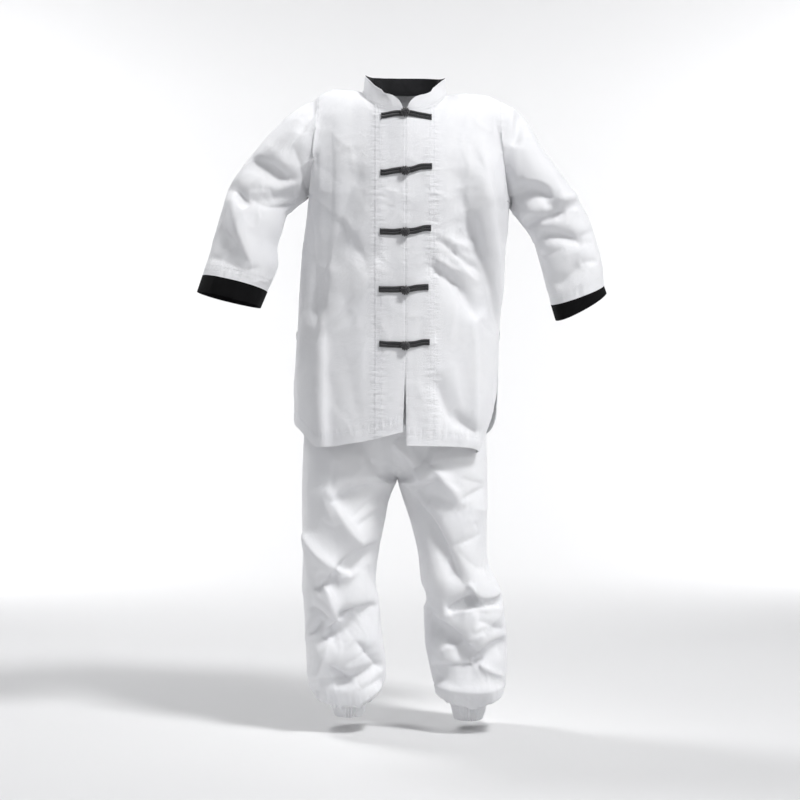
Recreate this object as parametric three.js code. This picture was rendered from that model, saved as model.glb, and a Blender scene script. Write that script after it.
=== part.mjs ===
// A tai chi uniform as it hangs on a standing wearer who isn't there: a white drill jacket with a
// stand collar, five black frog fastenings, side slits and black cuffs, over white trousers that are
// gathered at the waist and ankles. Every piece is a thin closed wall of cloth.
// Units are millimetres. +Z is up, the front faces -Y, and +X is the wearer's left.
// The origin is the middle of the neck opening, at the height of the shoulder seams.

import * as THREE from "three";

// Driving sizes
const CLOTH = 2.0; // wall of one layer of drill
const HEM_EXTRA = 0.8; // how much thicker a turned-up hem is
const SEAM_GAP = 0.35; // between pieces that are sewn together
const OVERLAY = 1.3; // wall of what is sewn on top of a panel
const NECK_HALF_WIDTH = 88;
const NECK_DROP_FRONT = 38;
const NECK_RISE_BACK = 19;
const NECK_DEPTH_FRONT = 95;
const NECK_DEPTH_BACK = 72;
const BAND_WIDTH = 60;
const SLIT_TOP = -485;
const SLIT_LENGTH = 238;
const OPENING_TOP = -533; // below this height the front edges part
const COLLAR_HEIGHT = 35;
const COLLAR_CORNER = 30; // radius of the collar's rounded front corners
const CROTCH_Z = -783;
const RISE_CURVE = 110; // height of the curved part of the trousers' rise seam
const RISE_BLEND = 210; // how far above the crotch the legs' outer sides start to form

// How finely the walls are divided
const NECK_COLUMNS = [0, 8, 22, 40, 60, 76, 88]; // distances from the centre line
const SIDE_COLUMNS = 8; // from there to the side seam
const ARMHOLE_ROWS = 9;
const SEAM_ROWS = 6; // from the underarm to the top of the side slit
const SLIT_ROWS = 5; // from there to the hem
const BODY_ROWS = SEAM_ROWS + SLIT_ROWS;
const LEG_COLUMNS = 24;

// Turns rows of numbers into objects with named fields.
const table = (columns, rows) =>
  rows.map((row) => Object.fromEntries(columns.map((name, i) => [name, row[i]])));

// Sections of the jacket's body: how far it reaches from the origin on each side
const BODY_SECTIONS = table(
  ["z", "right", "left", "front", "back"],
  [
    [-200, 197, 216, 124, 118],
    [-258, 203, 212, 131, 117],
    [-326, 211, 204, 131, 110],
    [-398, 216, 202, 129, 107],
    [-474, 221, 193, 131, 114],
    [-545, 224, 191, 134, 124],
    [-617, 226, 190, 138, 128],
    [-720, 228, 184, 142, 131],
  ],
);

// The jacket's hem: its height at shares of the way from the centre to the side
const HEM = table(
  ["share", "right", "left", "back"],
  [
    [0, -680, -707, -690],
    [0.35, -700, -709, -692],
    [0.59, -711, -713, -692],
    [0.7, -690, -717, -690],
    [0.85, -671, -720, -678],
    [1, -662, -723, -654],
  ],
);

// Each side's shoulder: the shoulder seam's heights, its tip and the lowest point of the armhole
const SHOULDERS = {
  right: { side: -1, neckZ: 14, midZ: 20, tip: [-183, 7], underarm: [-197, -207] },
  left: { side: 1, neckZ: 8, midZ: 12, tip: [197, 0], underarm: [216, -227] },
};
const ARMHOLE_DEPTH = { front: 80, back: 84 };
const ARMHOLE_HOLLOW = 9; // how far the armhole cuts in towards the chest

// Sleeves, from the armhole to the white hem: the outer and inner edge seen from the front, half the
// depth, how far forward the middle is, and how much higher the front is than the middle
const SLEEVE_COLUMNS = ["outX", "outZ", "inX", "inZ", "depth", "forward", "tilt"];
const SLEEVES = {
  right: table(SLEEVE_COLUMNS, [
    [-217, -20, -211, -214, 80, 0, 0],
    [-257, -51, -226, -225, 76, 2, 0],
    [-304, -104, -240, -236, 72, 6, 0],
    [-338, -150, -245, -248, 70, 10, 0],
    [-359, -182, -248, -262, 68, 15, 0],
    [-368, -216, -252, -280, 66, 21, 0],
    [-380, -260, -260, -308, 64, 28, 0],
    [-394, -312, -257, -342, 63, 35, 0],
    [-405, -346, -267, -373, 62, 40, 2],
    [-410, -366, -279, -398, 61, 43, 5],
  ]),
  left: table(SLEEVE_COLUMNS, [
    [224, -20, 220, -232, 82, 0, 0],
    [249, -48, 228, -243, 78, 2, 0],
    [274, -94, 238, -256, 74, 6, 0],
    [304, -134, 248, -269, 71, 10, 0],
    [332, -174, 260, -286, 68, 15, 0],
    [355, -212, 267, -308, 66, 21, 0],
    [375, -254, 273, -334, 64, 28, 0],
    [389, -298, 279, -362, 62, 35, -2],
    [398, -340, 287, -392, 60, 40, -5],
    [402, -385, 295, -424, 58, 43, -8],
  ]),
};
// The black cuffs' lower ends, in the same columns
const CUFF_ENDS = {
  right: table(SLEEVE_COLUMNS, [[-420, -399, -292, -430, 60, 47, 3]])[0],
  left: table(SLEEVE_COLUMNS, [[406, -401, 305, -456, 57, 47, -10]])[0],
};

// Sections of the trousers above the crotch
const HIP_SECTIONS = table(
  ["z", "centre", "right", "left", "front", "back"],
  [
    [-452, -6, 158, 142, 100, 96],
    [-500, -8, 176, 152, 106, 108],
    [-570, -11, 192, 160, 112, 124.6],
    [-640, -13, 201, 164, 116, 118],
    [-710, -15, 205, 166, 108, 116],
    [-783, -16, 209, 168, 100, 110],
  ],
);

// Sections of each trouser leg below the crotch: outer and inner edge, front and back
const LEG_COLUMNS_NAMED = ["z", "out", "in", "front", "back"];
const LEGS = {
  right: table(LEG_COLUMNS_NAMED, [
    [-783, -210, -18, 100, 106],
    [-822, -210, -34, 98, 104],
    [-884, -210, -45, 97, 98],
    [-945, -209, -57, 98, 90],
    [-990, -210, -60, 97, 84],
    [-1027, -207, -53, 94, 84],
    [-1078, -205, -50, 88, 92],
    [-1130, -203, -43, 86, 98],
    [-1175, -200, -40, 86, 100],
    [-1212, -193, -52, 84, 92],
    [-1236, -172, -72, 66, 72],
  ]),
  left: table(LEG_COLUMNS_NAMED, [
    [-783, 168, -14, 100, 106],
    [-822, 168, -3, 98, 104],
    [-884, 167, 16, 97, 98],
    [-945, 168, 29, 98, 90],
    [-984, 187, 33, 98, 84],
    [-1022, 199, 45, 93, 84],
    [-1054, 203, 38, 90, 88],
    [-1109, 209, 40, 88, 96],
    [-1156, 208, 49, 88, 100],
    [-1205, 202, 62, 84, 92],
    [-1234, 180, 78, 66, 72],
  ]),
};

// Elastic ankle bands: centre, half widths and heights, with the gathers round them
const ANKLES = {
  right: { x: -115, y: 6, halfWidth: 37, halfDepth: 42, top: -1226, bottom: -1264 },
  left: { x: 130, y: 6, halfWidth: 38, halfDepth: 42, top: -1226, bottom: -1271 },
};
const ANKLE_GATHERS = 20;
const ANKLE_GATHER_DEPTH = 1.8;
const ANKLE_TAPER = 0.3; // how much narrower the band's lower edge is than its upper edge

const WAISTBAND_HEIGHT = 38;
const WAIST_GATHER_DEPTH = 1.6;

// Folds: straight creases seen from the front or back. A positive height is a ridge and a negative one
// a trough. width is the soft half width above or to the right of the crease, and lean multiplies it
// on the other side, so that one flank is steeper.
const FOLD_COLUMNS = ["x1", "z1", "x2", "z2", "width", "height", "lean"];
const JACKET_FRONT_FOLDS = table(FOLD_COLUMNS, [
  // wearer's right sleeve
  [-188, 0, -205, -70, 14, -9, 1.6],
  [-305, -140, -212, -186, 15, -10, 1.7],
  [-300, -216, -212, -206, 15, -8, 0.8],
  [-356, -184, -318, -224, 15, -9, 1.4],
  [-345, -200, -312, -335, 17, 9, 1.3],
  [-370, -235, -345, -350, 20, -6, 1.2],
  // wearer's left sleeve
  [236, -36, 222, -100, 16, -9, 0.8],
  [214, -205, 300, -205, 26, -13, 0.9],
  [246, -262, 330, -236, 14, -7, 0.7],
  [296, -212, 350, -204, 15, 7, 0.8],
  [278, -284, 350, -298, 15, -7, 0.8],
  [305, -385, 355, -350, 18, -5, 1.2],
  // wearer's right front
  [-165, -90, -182, -400, 24, -9, 1.3],
  [-98, -170, -148, -330, 30, -9, 1.4],
  [-66, -355, -172, -470, 24, 7, 1.2],
  [-170, -470, -166, -706, 15, 9, 2.2],
  [-130, -300, -70, -340, 20, -5, 1.2],
  // wearer's left front
  [112, -190, 150, -420, 26, -9, 1.2],
  [152, -130, 186, -430, 16, 8, 1.4],
  [132, -270, 182, -455, 22, -8, 1.1],
  [50, -340, 146, -430, 20, -8, 1.4],
  [142, -470, 144, -690, 18, 6, 1.3],
  [66, -575, 100, -660, 20, -6, 1.2],
  [100, -650, 150, -690, 15, -6, 1.2],
]);
const JACKET_BACK_FOLDS = table(FOLD_COLUMNS, [
  [-170, -95, -150, -420, 26, -9, 1.2],
  [-120, -150, -95, -470, 30, -7, 1.3],
  [176, -110, 152, -430, 26, -9, 1.2],
  [112, -170, 100, -480, 28, -6, 1.3],
  [-188, -470, -176, -640, 22, 6, 1.2],
  [168, -480, 158, -640, 22, 6, 1.2],
  [-310, -150, -215, -196, 18, -9, 1.3],
  [-352, -200, -262, -262, 16, -8, 1.2],
  [-370, -290, -290, -330, 16, -6, 1.2],
  [300, -150, 222, -204, 18, -9, 1.3],
  [345, -220, 272, -272, 16, -8, 1.2],
  [372, -300, 296, -352, 16, -6, 1.2],
]);
const TROUSER_FRONT_FOLDS = table(FOLD_COLUMNS, [
  // wearer's right leg
  [-142, -822, -48, -786, 16, -11, 2.0],
  [-152, -800, -92, -908, 18, 9, 1.5],
  [-204, -895, -120, -976, 20, 9, 1.6],
  [-166, -992, -62, -930, 18, -11, 1.7],
  [-160, -1000, -128, -1070, 16, 9, 1.3],
  [-158, -1100, -64, -1046, 16, -11, 1.8],
  [-156, -1105, -186, -1192, 22, 7, 1.3],
  [-182, -1194, -52, -1166, 20, -8, 1.5],
  // wearer's left leg
  [-12, -708, 30, -786, 14, 9, 1.4],
  [14, -806, 108, -822, 20, -10, 1.4],
  [60, -760, 112, -824, 16, 8, 1.3],
  [0, -812, 104, -972, 20, -10, 1.3],
  [134, -1010, 196, -1018, 14, -11, 2.0],
  [92, -1046, 148, -1018, 16, -9, 1.5],
  [38, -1052, 146, -1142, 18, -12, 1.6],
  [148, -1146, 204, -1116, 15, -8, 1.4],
  [62, -1172, 190, -1170, 20, -8, 1.4],
]);
const TROUSER_BACK_FOLDS = table(FOLD_COLUMNS, [
  [-140, -826, -40, -792, 20, -10, 1.6],
  [-190, -930, -80, -900, 22, -7, 1.4],
  [-186, -1010, -70, -1030, 18, -10, 1.5],
  [-170, -1060, -80, -1100, 18, 8, 1.4],
  [-180, -1180, -60, -1150, 20, -8, 1.5],
  [110, -826, 0, -792, 20, -10, 1.6],
  [160, -930, 50, -900, 22, -7, 1.4],
  [180, -1016, 62, -1036, 18, -10, 1.5],
  [170, -1070, 70, -1100, 18, 8, 1.4],
  [190, -1180, 70, -1150, 20, -8, 1.5],
]);

// Frog fastenings: where the right and left straps end, their heights, and the height of the knot
const FROGS = table(
  ["rightX", "rightZ", "leftX", "leftZ", "knotZ"],
  [
    [-48, -52, 53, -54, -48],
    [-49, -166, 53, -154, -161],
    [-50, -284, 51, -277, -284],
    [-52, -398, 46, -394, -398],
    [-51, -506, 48, -503, -508],
  ],
);
const STRAP_HEIGHT = 11;
const STRAP_RELIEF = 3.6;
const STRAP_SEAT = 0.6; // how far the frogs stand off the bands
const KNOT_RADIUS = 7.5;
const KNOT_FLATTEN = 0.72;
const BESIDE_KNOT = 8.1; // where the straps stop, from the centre line

const COLOURS = { white: 0xf2f3f6, black: 0x141416, charcoal: 0x242426 };

// A smooth curve through a table's column, flat where the table turns back.
function curveThrough(rows, key, column) {
  const ordered = [...rows].sort((a, b) => a[key] - b[key]);
  const at = ordered.map((row) => row[key]);
  const value = ordered.map((row) => row[column]);
  const slope = at.slice(1).map((x, i) => (value[i + 1] - value[i]) / (x - at[i]));
  const tangent = at.map((_, i) => {
    const before = slope[Math.max(0, i - 1)];
    const after = slope[Math.min(slope.length - 1, i)];
    return before * after <= 0 ? 0 : (2 * before * after) / (before + after);
  });
  return (x) => {
    const last = at.length - 2;
    const i = Math.max(0, Math.min(last, at.findIndex((edge) => x < edge) - 1));
    const k = x >= at[at.length - 1] ? last : i;
    const span = at[k + 1] - at[k];
    const t = Math.max(0, Math.min(1, (x - at[k]) / span));
    const hermite = [
      (1 + 2 * t) * (1 - t) ** 2,
      t * (1 - t) ** 2 * span,
      t * t * (3 - 2 * t),
      t * t * (t - 1) * span,
    ];
    return (
      hermite[0] * value[k] +
      hermite[1] * tangent[k] +
      hermite[2] * value[k + 1] +
      hermite[3] * tangent[k + 1]
    );
  };
}

const smooth = (t) => {
  const s = Math.max(0, Math.min(1, t));
  return s * s * (3 - 2 * s);
};
const mix = (a, b, t) => a + (b - a) * t;

// One point on a rounded quarter section: 0 at the centre line, 1 at the side.
const ROUNDNESS = 2.3;
function quarter(angle, halfWidth, depth, roundness = ROUNDNESS) {
  return {
    x: halfWidth * Math.sin(angle) ** (2 / roundness),
    y: depth * Math.max(0, Math.cos(angle)) ** (2 / roundness),
  };
}

const body = {
  right: curveThrough(BODY_SECTIONS, "z", "right"),
  left: curveThrough(BODY_SECTIONS, "z", "left"),
  front: curveThrough(BODY_SECTIONS, "z", "front"),
  back: curveThrough(BODY_SECTIONS, "z", "back"),
};
const hem = {
  right: curveThrough(HEM, "share", "right"),
  left: curveThrough(HEM, "share", "left"),
  back: curveThrough(HEM, "share", "back"),
};

// The jacket's columns run from the centre line to the side seam. share is 0 to 1 along them.
const COLUMN_COUNT = NECK_COLUMNS.length + SIDE_COLUMNS;
const columnShare = (i) =>
  i < NECK_COLUMNS.length
    ? (0.35 * NECK_COLUMNS[i]) / NECK_HALF_WIDTH
    : 0.35 + (0.65 * (i - NECK_COLUMNS.length + 1)) / SIDE_COLUMNS;

// A point of the body's section at height z. face is "front" or "back".
function sectionPoint(side, face, share, z) {
  const halfWidth = body[side](z);
  const depth = body[face](z);
  const sign = SHOULDERS[side].side;
  const neckAngle = Math.asin((NECK_HALF_WIDTH / halfWidth) ** (ROUNDNESS / 2));
  const facing = face === "front" ? -1 : 1;
  if (share <= 0.35) {
    const x = (share / 0.35) * NECK_HALF_WIDTH;
    const y = depth * (1 - (x / halfWidth) ** ROUNDNESS) ** (1 / ROUNDNESS);
    return new THREE.Vector3(sign * x, facing * y, z);
  }
  const angle = mix(neckAngle, Math.PI / 2, (share - 0.35) / 0.65);
  const at = quarter(angle, halfWidth, depth);
  return new THREE.Vector3(sign * at.x, facing * at.y, z);
}

// The panel's top edge: the neckline, then the shoulder seam.
function topPoint(side, face, share) {
  const { side: sign, neckZ, midZ, tip } = SHOULDERS[side];
  if (share <= 0.35) {
    const across = share / 0.35;
    const round = Math.max(0, 1 - across ** 2.2) ** 0.5;
    const depth = face === "front" ? -NECK_DEPTH_FRONT - 5 : NECK_DEPTH_BACK - 5;
    const centreZ = face === "front" ? -NECK_DROP_FRONT : NECK_RISE_BACK;
    const x = sign * across * NECK_HALF_WIDTH;
    return new THREE.Vector3(x, 5 + depth * round, mix(centreZ, neckZ, across ** 3));
  }
  const t = (share - 0.35) / 0.65;
  const x = mix(sign * NECK_HALF_WIDTH, tip[0], t);
  const z = (1 - t) ** 2 * neckZ + 2 * t * (1 - t) * (2 * midZ - (neckZ + tip[1]) / 2) + t * t * tip[1];
  return new THREE.Vector3(x, 5 * (1 - t), z);
}

// The height at which the column leaves the armhole or chest and joins the body's rings
const CHEST_Z = -217;
const underarmZ = (side, share) => mix(CHEST_Z, SHOULDERS[side].underarm[1], share ** 2);

// How much the chest and shoulder blade stand out between the centre and the armhole. At the armhole
// this ends under the arm, and nearer the centre it fades out lower down.
function fullness(side, face, share, section, z) {
  const top = topPoint(side, face, share).z;
  const reach = (top - underarmZ(side, share)) * (1 + 0.5 * Math.min(1, (1 - share) / 0.25));
  const down = Math.max(0, Math.min(1, (top - z) / reach));
  const towardsSide = 1 - Math.abs(section.y) / body[face](section.z);
  const facing = face === "front" ? -1 : 1;
  return facing * ARMHOLE_DEPTH[face] * towardsSide * Math.sin(Math.PI * down) ** 0.8;
}

function upperPoint(side, face, share, down) {
  const top = topPoint(side, face, share);
  const low = sectionPoint(side, face, share, underarmZ(side, share));
  const swell = Math.sin((Math.PI / 2) * down) ** 0.62;
  const hollow = ARMHOLE_HOLLOW * Math.sin(Math.PI * down) ** 0.8 * share ** 4;
  const z = mix(top.z, low.z, down);
  return new THREE.Vector3(
    mix(top.x, low.x, smooth(down)) - SHOULDERS[side].side * hollow,
    mix(top.y, low.y, swell) + fullness(side, face, share, low, z),
    z,
  );
}

// Below the slit the panels' side edges come apart, and the front edges part below the last frog.
function lowerPoint(side, face, share, row) {
  const hemZ = face === "front" ? hem[side](share) : hem.back(share);
  const z =
    row <= SEAM_ROWS
      ? mix(underarmZ(side, share), SLIT_TOP, row / SEAM_ROWS)
      : mix(SLIT_TOP, hemZ, (row - SEAM_ROWS) / SLIT_ROWS);
  const p = sectionPoint(side, face, share, z);
  p.y += fullness(side, face, share, p, z);
  const slit = Math.max(0, (SLIT_TOP - z) / SLIT_LENGTH);
  const edge = smooth((share - 0.7) / 0.3);
  const outward = Math.max(0, (share - 0.35) / 0.65);
  if (face === "back") {
    p.y += 18 * slit * edge;
    p.x -= SHOULDERS[side].side * 4 * slit ** 2 * edge;
  } else if (side === "left") {
    p.y -= 80 * slit ** 1.5 * outward ** 2;
    p.x -= 42 * slit ** 3.2 * outward;
  } else {
    p.y -= 12 * slit * edge;
  }
  return p;
}

// Rows lie closer at the shoulder and under the arm, as the sleeve's ring does.
const armholeShare = (row) =>
  mix(row / ARMHOLE_ROWS, (1 - Math.cos((Math.PI * row) / ARMHOLE_ROWS)) / 2, 0.7);

function jacketPoint(side, face, column, row) {
  const share = columnShare(column);
  const p =
    row <= ARMHOLE_ROWS
      ? upperPoint(side, face, share, armholeShare(row))
      : lowerPoint(side, face, share, row - ARMHOLE_ROWS);
  if (face === "front") {
    // The front edges meet down to the last frog, and stand a little apart below it.
    const parted = (side === "left" ? 3 : 5) * smooth((OPENING_TOP - p.z) / 170);
    const nearCentre = Math.max(0, 1 - columnShare(column) / 0.25);
    p.x += SHOULDERS[side].side * parted * nearCentre;
  }
  return p;
}

// A piece before it becomes a wall: rows of points on its outer face. closed means that each row is a
// ring. trimmed names the edges that keep a seam's gap.
const piece = (name, colour, rows, options = {}) => ({
  name,
  colour,
  rows,
  closed: false,
  trimmed: [],
  thickness: () => CLOTH,
  ...options,
});

const range = (n) => Array.from({ length: n }, (_, i) => i);
const ROW_COUNT = ARMHOLE_ROWS + BODY_ROWS + 1;
const bodyColumn = (side, face, column) =>
  range(ROW_COUNT).map((row) => jacketPoint(side, face, column, row));

const hemThickness = (rowCount) => (row) => (row >= rowCount - 2 ? CLOTH + HEM_EXTRA : CLOTH);

// Evens out a panel's depth above the chest. Its edges stay where they are, apart from the centre
// front, which is mirrored.
const EASED_ROWS = ARMHOLE_ROWS + 2;
const EASING_PASSES = 5;
function ease(rows, mirroredAtStart) {
  range(EASING_PASSES).forEach(() => {
    const depth = rows.map((points) => points.map((p) => p.y));
    for (let r = 1; r <= EASED_ROWS; r++) {
      for (let c = mirroredAtStart ? 0 : 1; c < rows[r].length - 1; c++) {
        const beside = depth[r][Math.abs(c - 1)] + depth[r][c + 1];
        rows[r][c].y = (depth[r - 1][c] + depth[r + 1][c] + beside) / 4;
      }
    }
  });
}

function frontPanel(side) {
  const rows = range(ROW_COUNT).map((row) =>
    range(COLUMN_COUNT).map((column) => jacketPoint(side, "front", column, row)),
  );
  ease(rows, true);
  return piece("front_" + side, COLOURS.white, rows, {
    trimmed: ["top", "left", "right"],
    folds: "jacket",
    thickness: hemThickness(rows.length),
  });
}

function backPanel() {
  const columns = [
    ...range(COLUMN_COUNT).map((c) => bodyColumn("right", "back", COLUMN_COUNT - 1 - c)),
    ...range(COLUMN_COUNT - 1).map((c) => bodyColumn("left", "back", c + 1)),
  ];
  const rows = range(ROW_COUNT).map((row) => columns.map((column) => column[row]));
  ease(rows, false);
  return piece("back", COLOURS.white, rows, {
    trimmed: ["top", "left", "right"],
    folds: "jacket",
    thickness: hemThickness(rows.length),
  });
}

// A ring of the sleeve. Its points follow the armhole's: down the front, then up the back.
const SLEEVE_RING = 2 * ARMHOLE_ROWS;
function sleeveRing(section) {
  return range(SLEEVE_RING).map((i) => {
    const angle = (2 * Math.PI * i) / SLEEVE_RING;
    const across = (1 - Math.cos(angle)) / 2;
    const deep = Math.sin(angle);
    return new THREE.Vector3(
      mix(section.outX, section.inX, across),
      -section.forward - section.depth * Math.sign(deep) * Math.abs(deep) ** 0.9,
      mix(section.outZ, section.inZ, across) + section.tilt * deep,
    );
  });
}

function armholeRing(side) {
  const front = bodyColumn(side, "front", COLUMN_COUNT - 1).slice(0, ARMHOLE_ROWS + 1);
  const back = bodyColumn(side, "back", COLUMN_COUNT - 1).slice(1, ARMHOLE_ROWS);
  return [...front, ...back.reverse()];
}

function sleeve(side) {
  const rows = [armholeRing(side), ...SLEEVES[side].map(sleeveRing)];
  return piece("sleeve_" + side, COLOURS.white, rows, {
    closed: true,
    trimmed: ["top", "bottom"],
    folds: "jacket",
    thickness: hemThickness(rows.length),
  });
}

function cuff(side) {
  const last = SLEEVES[side][SLEEVES[side].length - 1];
  const end = CUFF_ENDS[side];
  const between = Object.fromEntries(
    SLEEVE_COLUMNS.map((name) => [name, mix(last[name], end[name], 0.5)]),
  );
  return piece("cuff_" + side, COLOURS.black, [last, between, end].map(sleeveRing), {
    closed: true,
    trimmed: ["top"],
    folds: "jacket",
  });
}

// The collar stands on the neckline, from one front edge round the back to the other.
function necklinePoints() {
  const right = range(NECK_COLUMNS.length).map((c) => topPoint("right", "front", columnShare(c)));
  const left = range(NECK_COLUMNS.length).map((c) => topPoint("left", "front", columnShare(c)));
  const backRight = range(NECK_COLUMNS.length - 1).map((c) =>
    topPoint("right", "back", columnShare(c)),
  );
  const backLeft = range(NECK_COLUMNS.length - 2).map((c) =>
    topPoint("left", "back", columnShare(c + 1)),
  );
  return [...right, ...backRight.reverse(), ...backLeft, ...left.reverse()];
}

const COLLAR_ROWS = 3;
function collar() {
  const base = necklinePoints();
  const along = [0];
  base.slice(1).forEach((p, i) => along.push(along[i] + p.distanceTo(base[i])));
  const length = along[along.length - 1];
  const rows = range(COLLAR_ROWS + 1).map((row) =>
    base.map((p, i) => {
      const fromFront = Math.min(along[i], length - along[i]);
      const corner = Math.max(0, 1 - fromFront / COLLAR_CORNER);
      const height = COLLAR_HEIGHT * Math.max(0.06, Math.sqrt(1 - corner ** 2));
      const up = (row / COLLAR_ROWS) * height;
      const inward = 0.12 * up;
      const flat = Math.hypot(p.x, p.y);
      return new THREE.Vector3(p.x - (inward * p.x) / flat, p.y - (inward * p.y) / flat, p.z + up);
    }),
  );
  return piece("collar", COLOURS.white, rows.reverse(), { trimmed: ["bottom"], folds: "jacket" });
}

// Trousers. Each leg is one cloth, from the front seam round the outer side to the back seam; its
// two edges meet below the crotch in the inner seam.
const hips = Object.fromEntries(
  ["centre", "right", "left", "front", "back"].map((c) => [c, curveThrough(HIP_SECTIONS, "z", c)]),
);
const legs = Object.fromEntries(
  ["right", "left"].map((side) => [
    side,
    Object.fromEntries(
      ["out", "in", "front", "back"].map((c) => [c, curveThrough(LEGS[side], "z", c)]),
    ),
  ]),
);
const LEG_ROUNDNESS = 2.4;
const HIP_ROUNDNESS = 2.6;
const LEG_HEIGHTS = [
  -452, -490, -540, -590, -640, -673, -706, -739, -765, -783, -805, -832, -862, -895, -928, -960,
  -990, -1020, -1050, -1082, -1115, -1148, -1180, -1208, -1226, -1237,
];

const LEG_END_Z = -1236;

function hipPoint(side, turn, z) {
  const sign = SHOULDERS[side].side;
  const angle = Math.abs(turn - 0.5) * Math.PI;
  const face = turn < 0.5 ? "front" : "back";
  const halfWidth = hips[side](z) - sign * hips.centre(z);
  const squareness = mix(ROUNDNESS, HIP_ROUNDNESS, smooth((-480 - z) / 250));
  const at = quarter(Math.PI / 2 - angle, halfWidth, hips[face](z), squareness);
  const facing = face === "front" ? -1 : 1;
  return new THREE.Vector3(hips.centre(z) + sign * at.x, facing * at.y, z);
}

function legPoint(side, turn, z, inner = legs[side].in(z)) {
  const leg = legs[side];
  const angle = 2 * Math.PI * (turn - 0.5);
  const middle = (leg.out(z) + inner) / 2;
  const halfWidth = (leg.out(z) - inner) / 2;
  const power = 2 / LEG_ROUNDNESS;
  const across = Math.sign(Math.cos(angle)) * Math.abs(Math.cos(angle)) ** power;
  const deep = Math.sign(Math.sin(angle)) * Math.abs(Math.sin(angle)) ** power;
  const depth = deep < 0 ? leg.front(z) : leg.back(z);
  return new THREE.Vector3(middle + halfWidth * across, deep * depth, z);
}

// Above the crotch a leg's ring opens out into its half of the hips. The centre seam follows the rise
// curve, and the outer side changes more gently.
function risePoint(side, turn, z) {
  const sunk = Math.max(0, (CROTCH_Z + RISE_CURVE - z) / RISE_CURVE);
  const seam = Math.sqrt(Math.max(0, 1 - sunk ** 2));
  const outer = smooth((z - CROTCH_Z) / RISE_BLEND);
  const fromSeam = 1 - Math.abs(2 * turn - 1);
  const open = mix(seam, outer, smooth(fromSeam / 0.5));
  return legPoint(side, turn, CROTCH_Z, hips.centre(CROTCH_Z)).lerp(hipPoint(side, turn, z), open);
}

function trouserPoint(side, column, z) {
  const turn = column / LEG_COLUMNS;
  const p = z > CROTCH_Z ? risePoint(side, turn, z) : legPoint(side, turn, z);
  p.z = z;
  const gathered = Math.max(0, 1 + (LEG_HEIGHTS[0] - z) * -0.012) * (z > -535 ? 1 : 0);
  const wave = (column % 2 ? 1 : -1) * WAIST_GATHER_DEPTH * gathered;
  return column === 0 || column === LEG_COLUMNS ? p : p.add(outwardOf(side, p).multiplyScalar(wave));
}

// The flat outward direction from a leg's or the hips' middle
function outwardOf(side, p) {
  const middle = p.z > CROTCH_Z ? hips.centre(p.z) : (legs[side].out(p.z) + legs[side].in(p.z)) / 2;
  return new THREE.Vector3(p.x - middle, p.y, 0).normalize();
}

// An elastic ankle band's half widths and the depth of its gathers, at a share of the way down
function ankleSection(side, down) {
  const { halfWidth, halfDepth } = ANKLES[side];
  const taper = 1 - ANKLE_TAPER * down ** 2;
  const gather = ANKLE_GATHER_DEPTH * mix(0.4, 1, down);
  return { across: halfWidth * taper, deep: halfDepth * taper, gather };
}

// The leg's lower edge, where it turns in under itself and meets the elastic ankle band
function legEnd(side) {
  const { x, y, top, bottom } = ANKLES[side];
  const { across, deep, gather } = ankleSection(side, (top - LEG_END_Z) / (top - bottom));
  const clear = gather + SEAM_GAP + 0.1;
  const chord = Math.cos(Math.PI / LEG_COLUMNS);
  return range(LEG_COLUMNS + 1).map((column) => {
    const angle = 2 * Math.PI * (column / LEG_COLUMNS - 0.5);
    const out = (SHOULDERS[side].side * (across + clear) * Math.cos(angle)) / chord;
    return new THREE.Vector3(x + out, y + ((deep + clear) * Math.sin(angle)) / chord, LEG_END_Z);
  });
}

function trouserLeg(side) {
  const columns = range(LEG_COLUMNS + 1);
  const rows = LEG_HEIGHTS.map((z) => columns.map((column) => trouserPoint(side, column, z)));
  rows.push(legEnd(side));
  return piece("leg_" + side, COLOURS.white, rows, {
    trimmed: ["top", "left", "right"],
    folds: "trousers",
  });
}

function waistband() {
  const z = LEG_HEIGHTS[0];
  const ring = [
    ...range(LEG_COLUMNS).map((c) => trouserPoint("left", c, z)),
    ...range(LEG_COLUMNS).map((c) => trouserPoint("right", LEG_COLUMNS - c, z)),
  ];
  const raised = ring.map((p) => p.clone().setZ(z + WAISTBAND_HEIGHT));
  return piece("waistband", COLOURS.white, [raised, ring], { closed: true, trimmed: ["bottom"] });
}

function ankleBand(side) {
  const { x, y, top, bottom } = ANKLES[side];
  const rows = [0, (top - LEG_END_Z) / (top - bottom), 0.65, 1].map((down) => {
    const { across, deep, gather } = ankleSection(side, down);
    return range(2 * ANKLE_GATHERS).map((i) => {
      const angle = (Math.PI * i) / ANKLE_GATHERS;
      const wave = i % 2 ? -gather : gather;
      return new THREE.Vector3(
        x + (across + wave) * Math.sin(angle),
        y - (deep + wave) * Math.cos(angle),
        mix(top, bottom, down),
      );
    });
  });
  return piece("ankle_band_" + side, COLOURS.white, rows, { closed: true, thickness: () => 1.6 });
}

// Outward normals at each point of a piece's rows
function findNormals(part) {
  const { rows, closed } = part;
  const count = rows[0].length;
  const at = (row, column) => {
    const r = Math.max(0, Math.min(rows.length - 1, row));
    const c = closed ? (column + count) % count : Math.max(0, Math.min(count - 1, column));
    return rows[r][c];
  };
  let facingOut = 0;
  part.normals = rows.map((points, r) => {
    const middle = points.reduce((sum, p) => sum.add(p), new THREE.Vector3()).divideScalar(count);
    return points.map((p, c) => {
      const across = at(r, c + 1).clone().sub(at(r, c - 1));
      const down = at(r + 1, c).clone().sub(at(r - 1, c));
      const normal = down.cross(across).normalize();
      facingOut += normal.dot(p.clone().sub(middle));
      return normal;
    });
  });
  if (facingOut < 0) part.normals.flat().forEach((n) => n.negate());
  part.flipped = facingOut < 0;
}

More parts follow.
